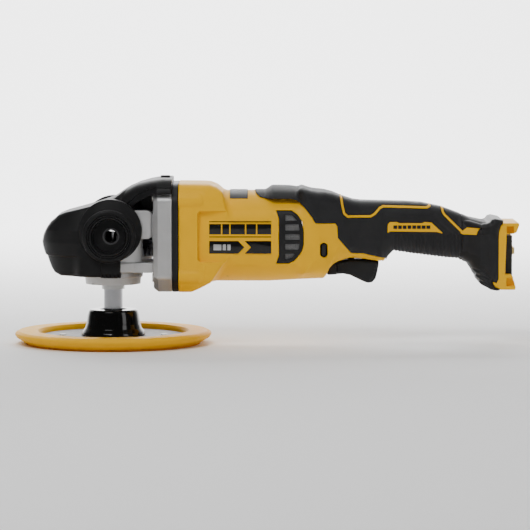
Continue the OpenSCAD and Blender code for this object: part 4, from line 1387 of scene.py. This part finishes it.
@dataclass
class Studio:
    """A pale floor and backdrop, soft lights and the camera.

    Args:
        target: the point that the camera and most lamps face, in metres.
        distance: from the camera to its target, in metres.
        elevation: camera's height above the horizon, in degrees.
        lens: focal length in millimetres.
    """

    target: tuple[float, float, float] = TARGET
    distance: float = 2.8
    elevation: float = 4.4
    lens: float = 210.0

    def backdrop(self) -> None:
        """A floor that curves up into a wall."""
        far, bend, half_width, top, steps = 1.6, 1.2, 6.0, 4.5, 10
        rise = [(-6.0, 0.0), (far, 0.0)]
        rise += [
            (far + bend * math.sin(a), bend - bend * math.cos(a))
            for a in (math.radians(90 / steps * k) for k in range(1, steps + 1))]
        rise.append((2.8, top))
        points = np.array(
            [(x * 1000, y * 1000, z * 1000) for y, z in rise for x in (-half_width, half_width)])
        quads = np.array([(2 * i, 2 * i + 1, 2 * i + 3, 2 * i + 2) for i in range(len(rise) - 1)])
        floor = quad_mesh("studio_floor", points, quads)
        material = bpy.data.materials.new("studio_paper")
        material.use_nodes = True
        shader = material.node_tree.nodes["Principled BSDF"]
        shader.inputs["Base Color"].default_value = (0.93, 0.93, 0.93, 1)
        shader.inputs["Roughness"].default_value = 0.9
        floor.data.materials.append(material)

    def light(
        self,
        name: str,
        place: tuple[float, float, float],
        size: tuple[float, float],
        power: float,
        towards: tuple[float, float, float] = TARGET,
    ) -> None:
        """A soft rectangular lamp.

        Args:
            name: its name.
            place: where it hangs, in metres.
            size: its width and height.
            power: its power in watts.
            towards: the point that it lights.
        """
        data = bpy.data.lights.new(name, "AREA")
        data.shape = "RECTANGLE"
        data.size, data.size_y = size
        data.energy = power
        lamp = bpy.data.objects.new(name, data)
        lamp.location = place
        aim = Vector(towards) - Vector(place)
        lamp.rotation_euler = aim.to_track_quat("-Z", "Y").to_euler()
        bpy.context.scene.collection.objects.link(lamp)

    def build(self) -> None:
        """Sets up the floor, the lights, the air's glow and the camera."""
        self.backdrop()
        self.light("key_lamp", (-0.5, -1.3, 1.5), (0.9, 0.6), 21)
        self.light("side_lamp", (1.6, -1.2, 0.9), (0.6, 1.0), 6)
        self.light("top_lamp", (0.15, 0.2, 1.8), (1.6, 0.9), 9)
        self.light("rear_lamp", (0.0, 1.4, 1.3), (1.6, 0.6), 12)
        self.light("wall_lamp", (0.0, 1.3, 1.6), (2.6, 0.8), 150, (0.0, 2.6, 0.3))
        world = bpy.data.worlds.new("studio_air")
        world.use_nodes = True
        glow = world.node_tree.nodes["Background"]
        glow.inputs["Color"].default_value = (1, 1, 1, 1)
        glow.inputs["Strength"].default_value = 0.1
        bpy.context.scene.world = world
        camera = bpy.data.objects.new("camera", bpy.data.cameras.new("camera"))
        lift = math.radians(self.elevation)
        back = Vector((0, -math.cos(lift), math.sin(lift)))
        camera.location = Vector(self.target) + back * self.distance
        camera.rotation_euler = (-back).to_track_quat("-Z", "Y").to_euler()
        camera.data.lens = self.lens
        camera.data.sensor_width = 36.0
        bpy.context.scene.collection.objects.link(camera)
        bpy.context.scene.camera = camera


def dress_frame(frame: dict) -> None:
    """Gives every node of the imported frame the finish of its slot.
    """
    slots = {part["node"]: part["material_slot"] for part in frame["record"]["subparts"]}
    for name, node in frame["nodes"].items():
        dress(node, slots[name])
        node.data.polygons.foreach_set("use_smooth", np.ones(len(node.data.polygons), bool))
        node.data.set_sharp_from_angle(angle=NODE_CREASE)


def main() -> None:
    """Builds the whole tool."""
    logging.basicConfig(level=logging.INFO, format="%(message)s")
    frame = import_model()
    Studio().build()
    dress_frame(frame)
    for assembly in (
        BackingPad(), GearCase(), Boot(), Housing(), Grip(), IntakeShields(), Trigger(), BatteryFoot()):
        assembly.build()
        LOG.info("%s is in place", type(assembly).__name__)


if __name__ == "__main__":
    main()
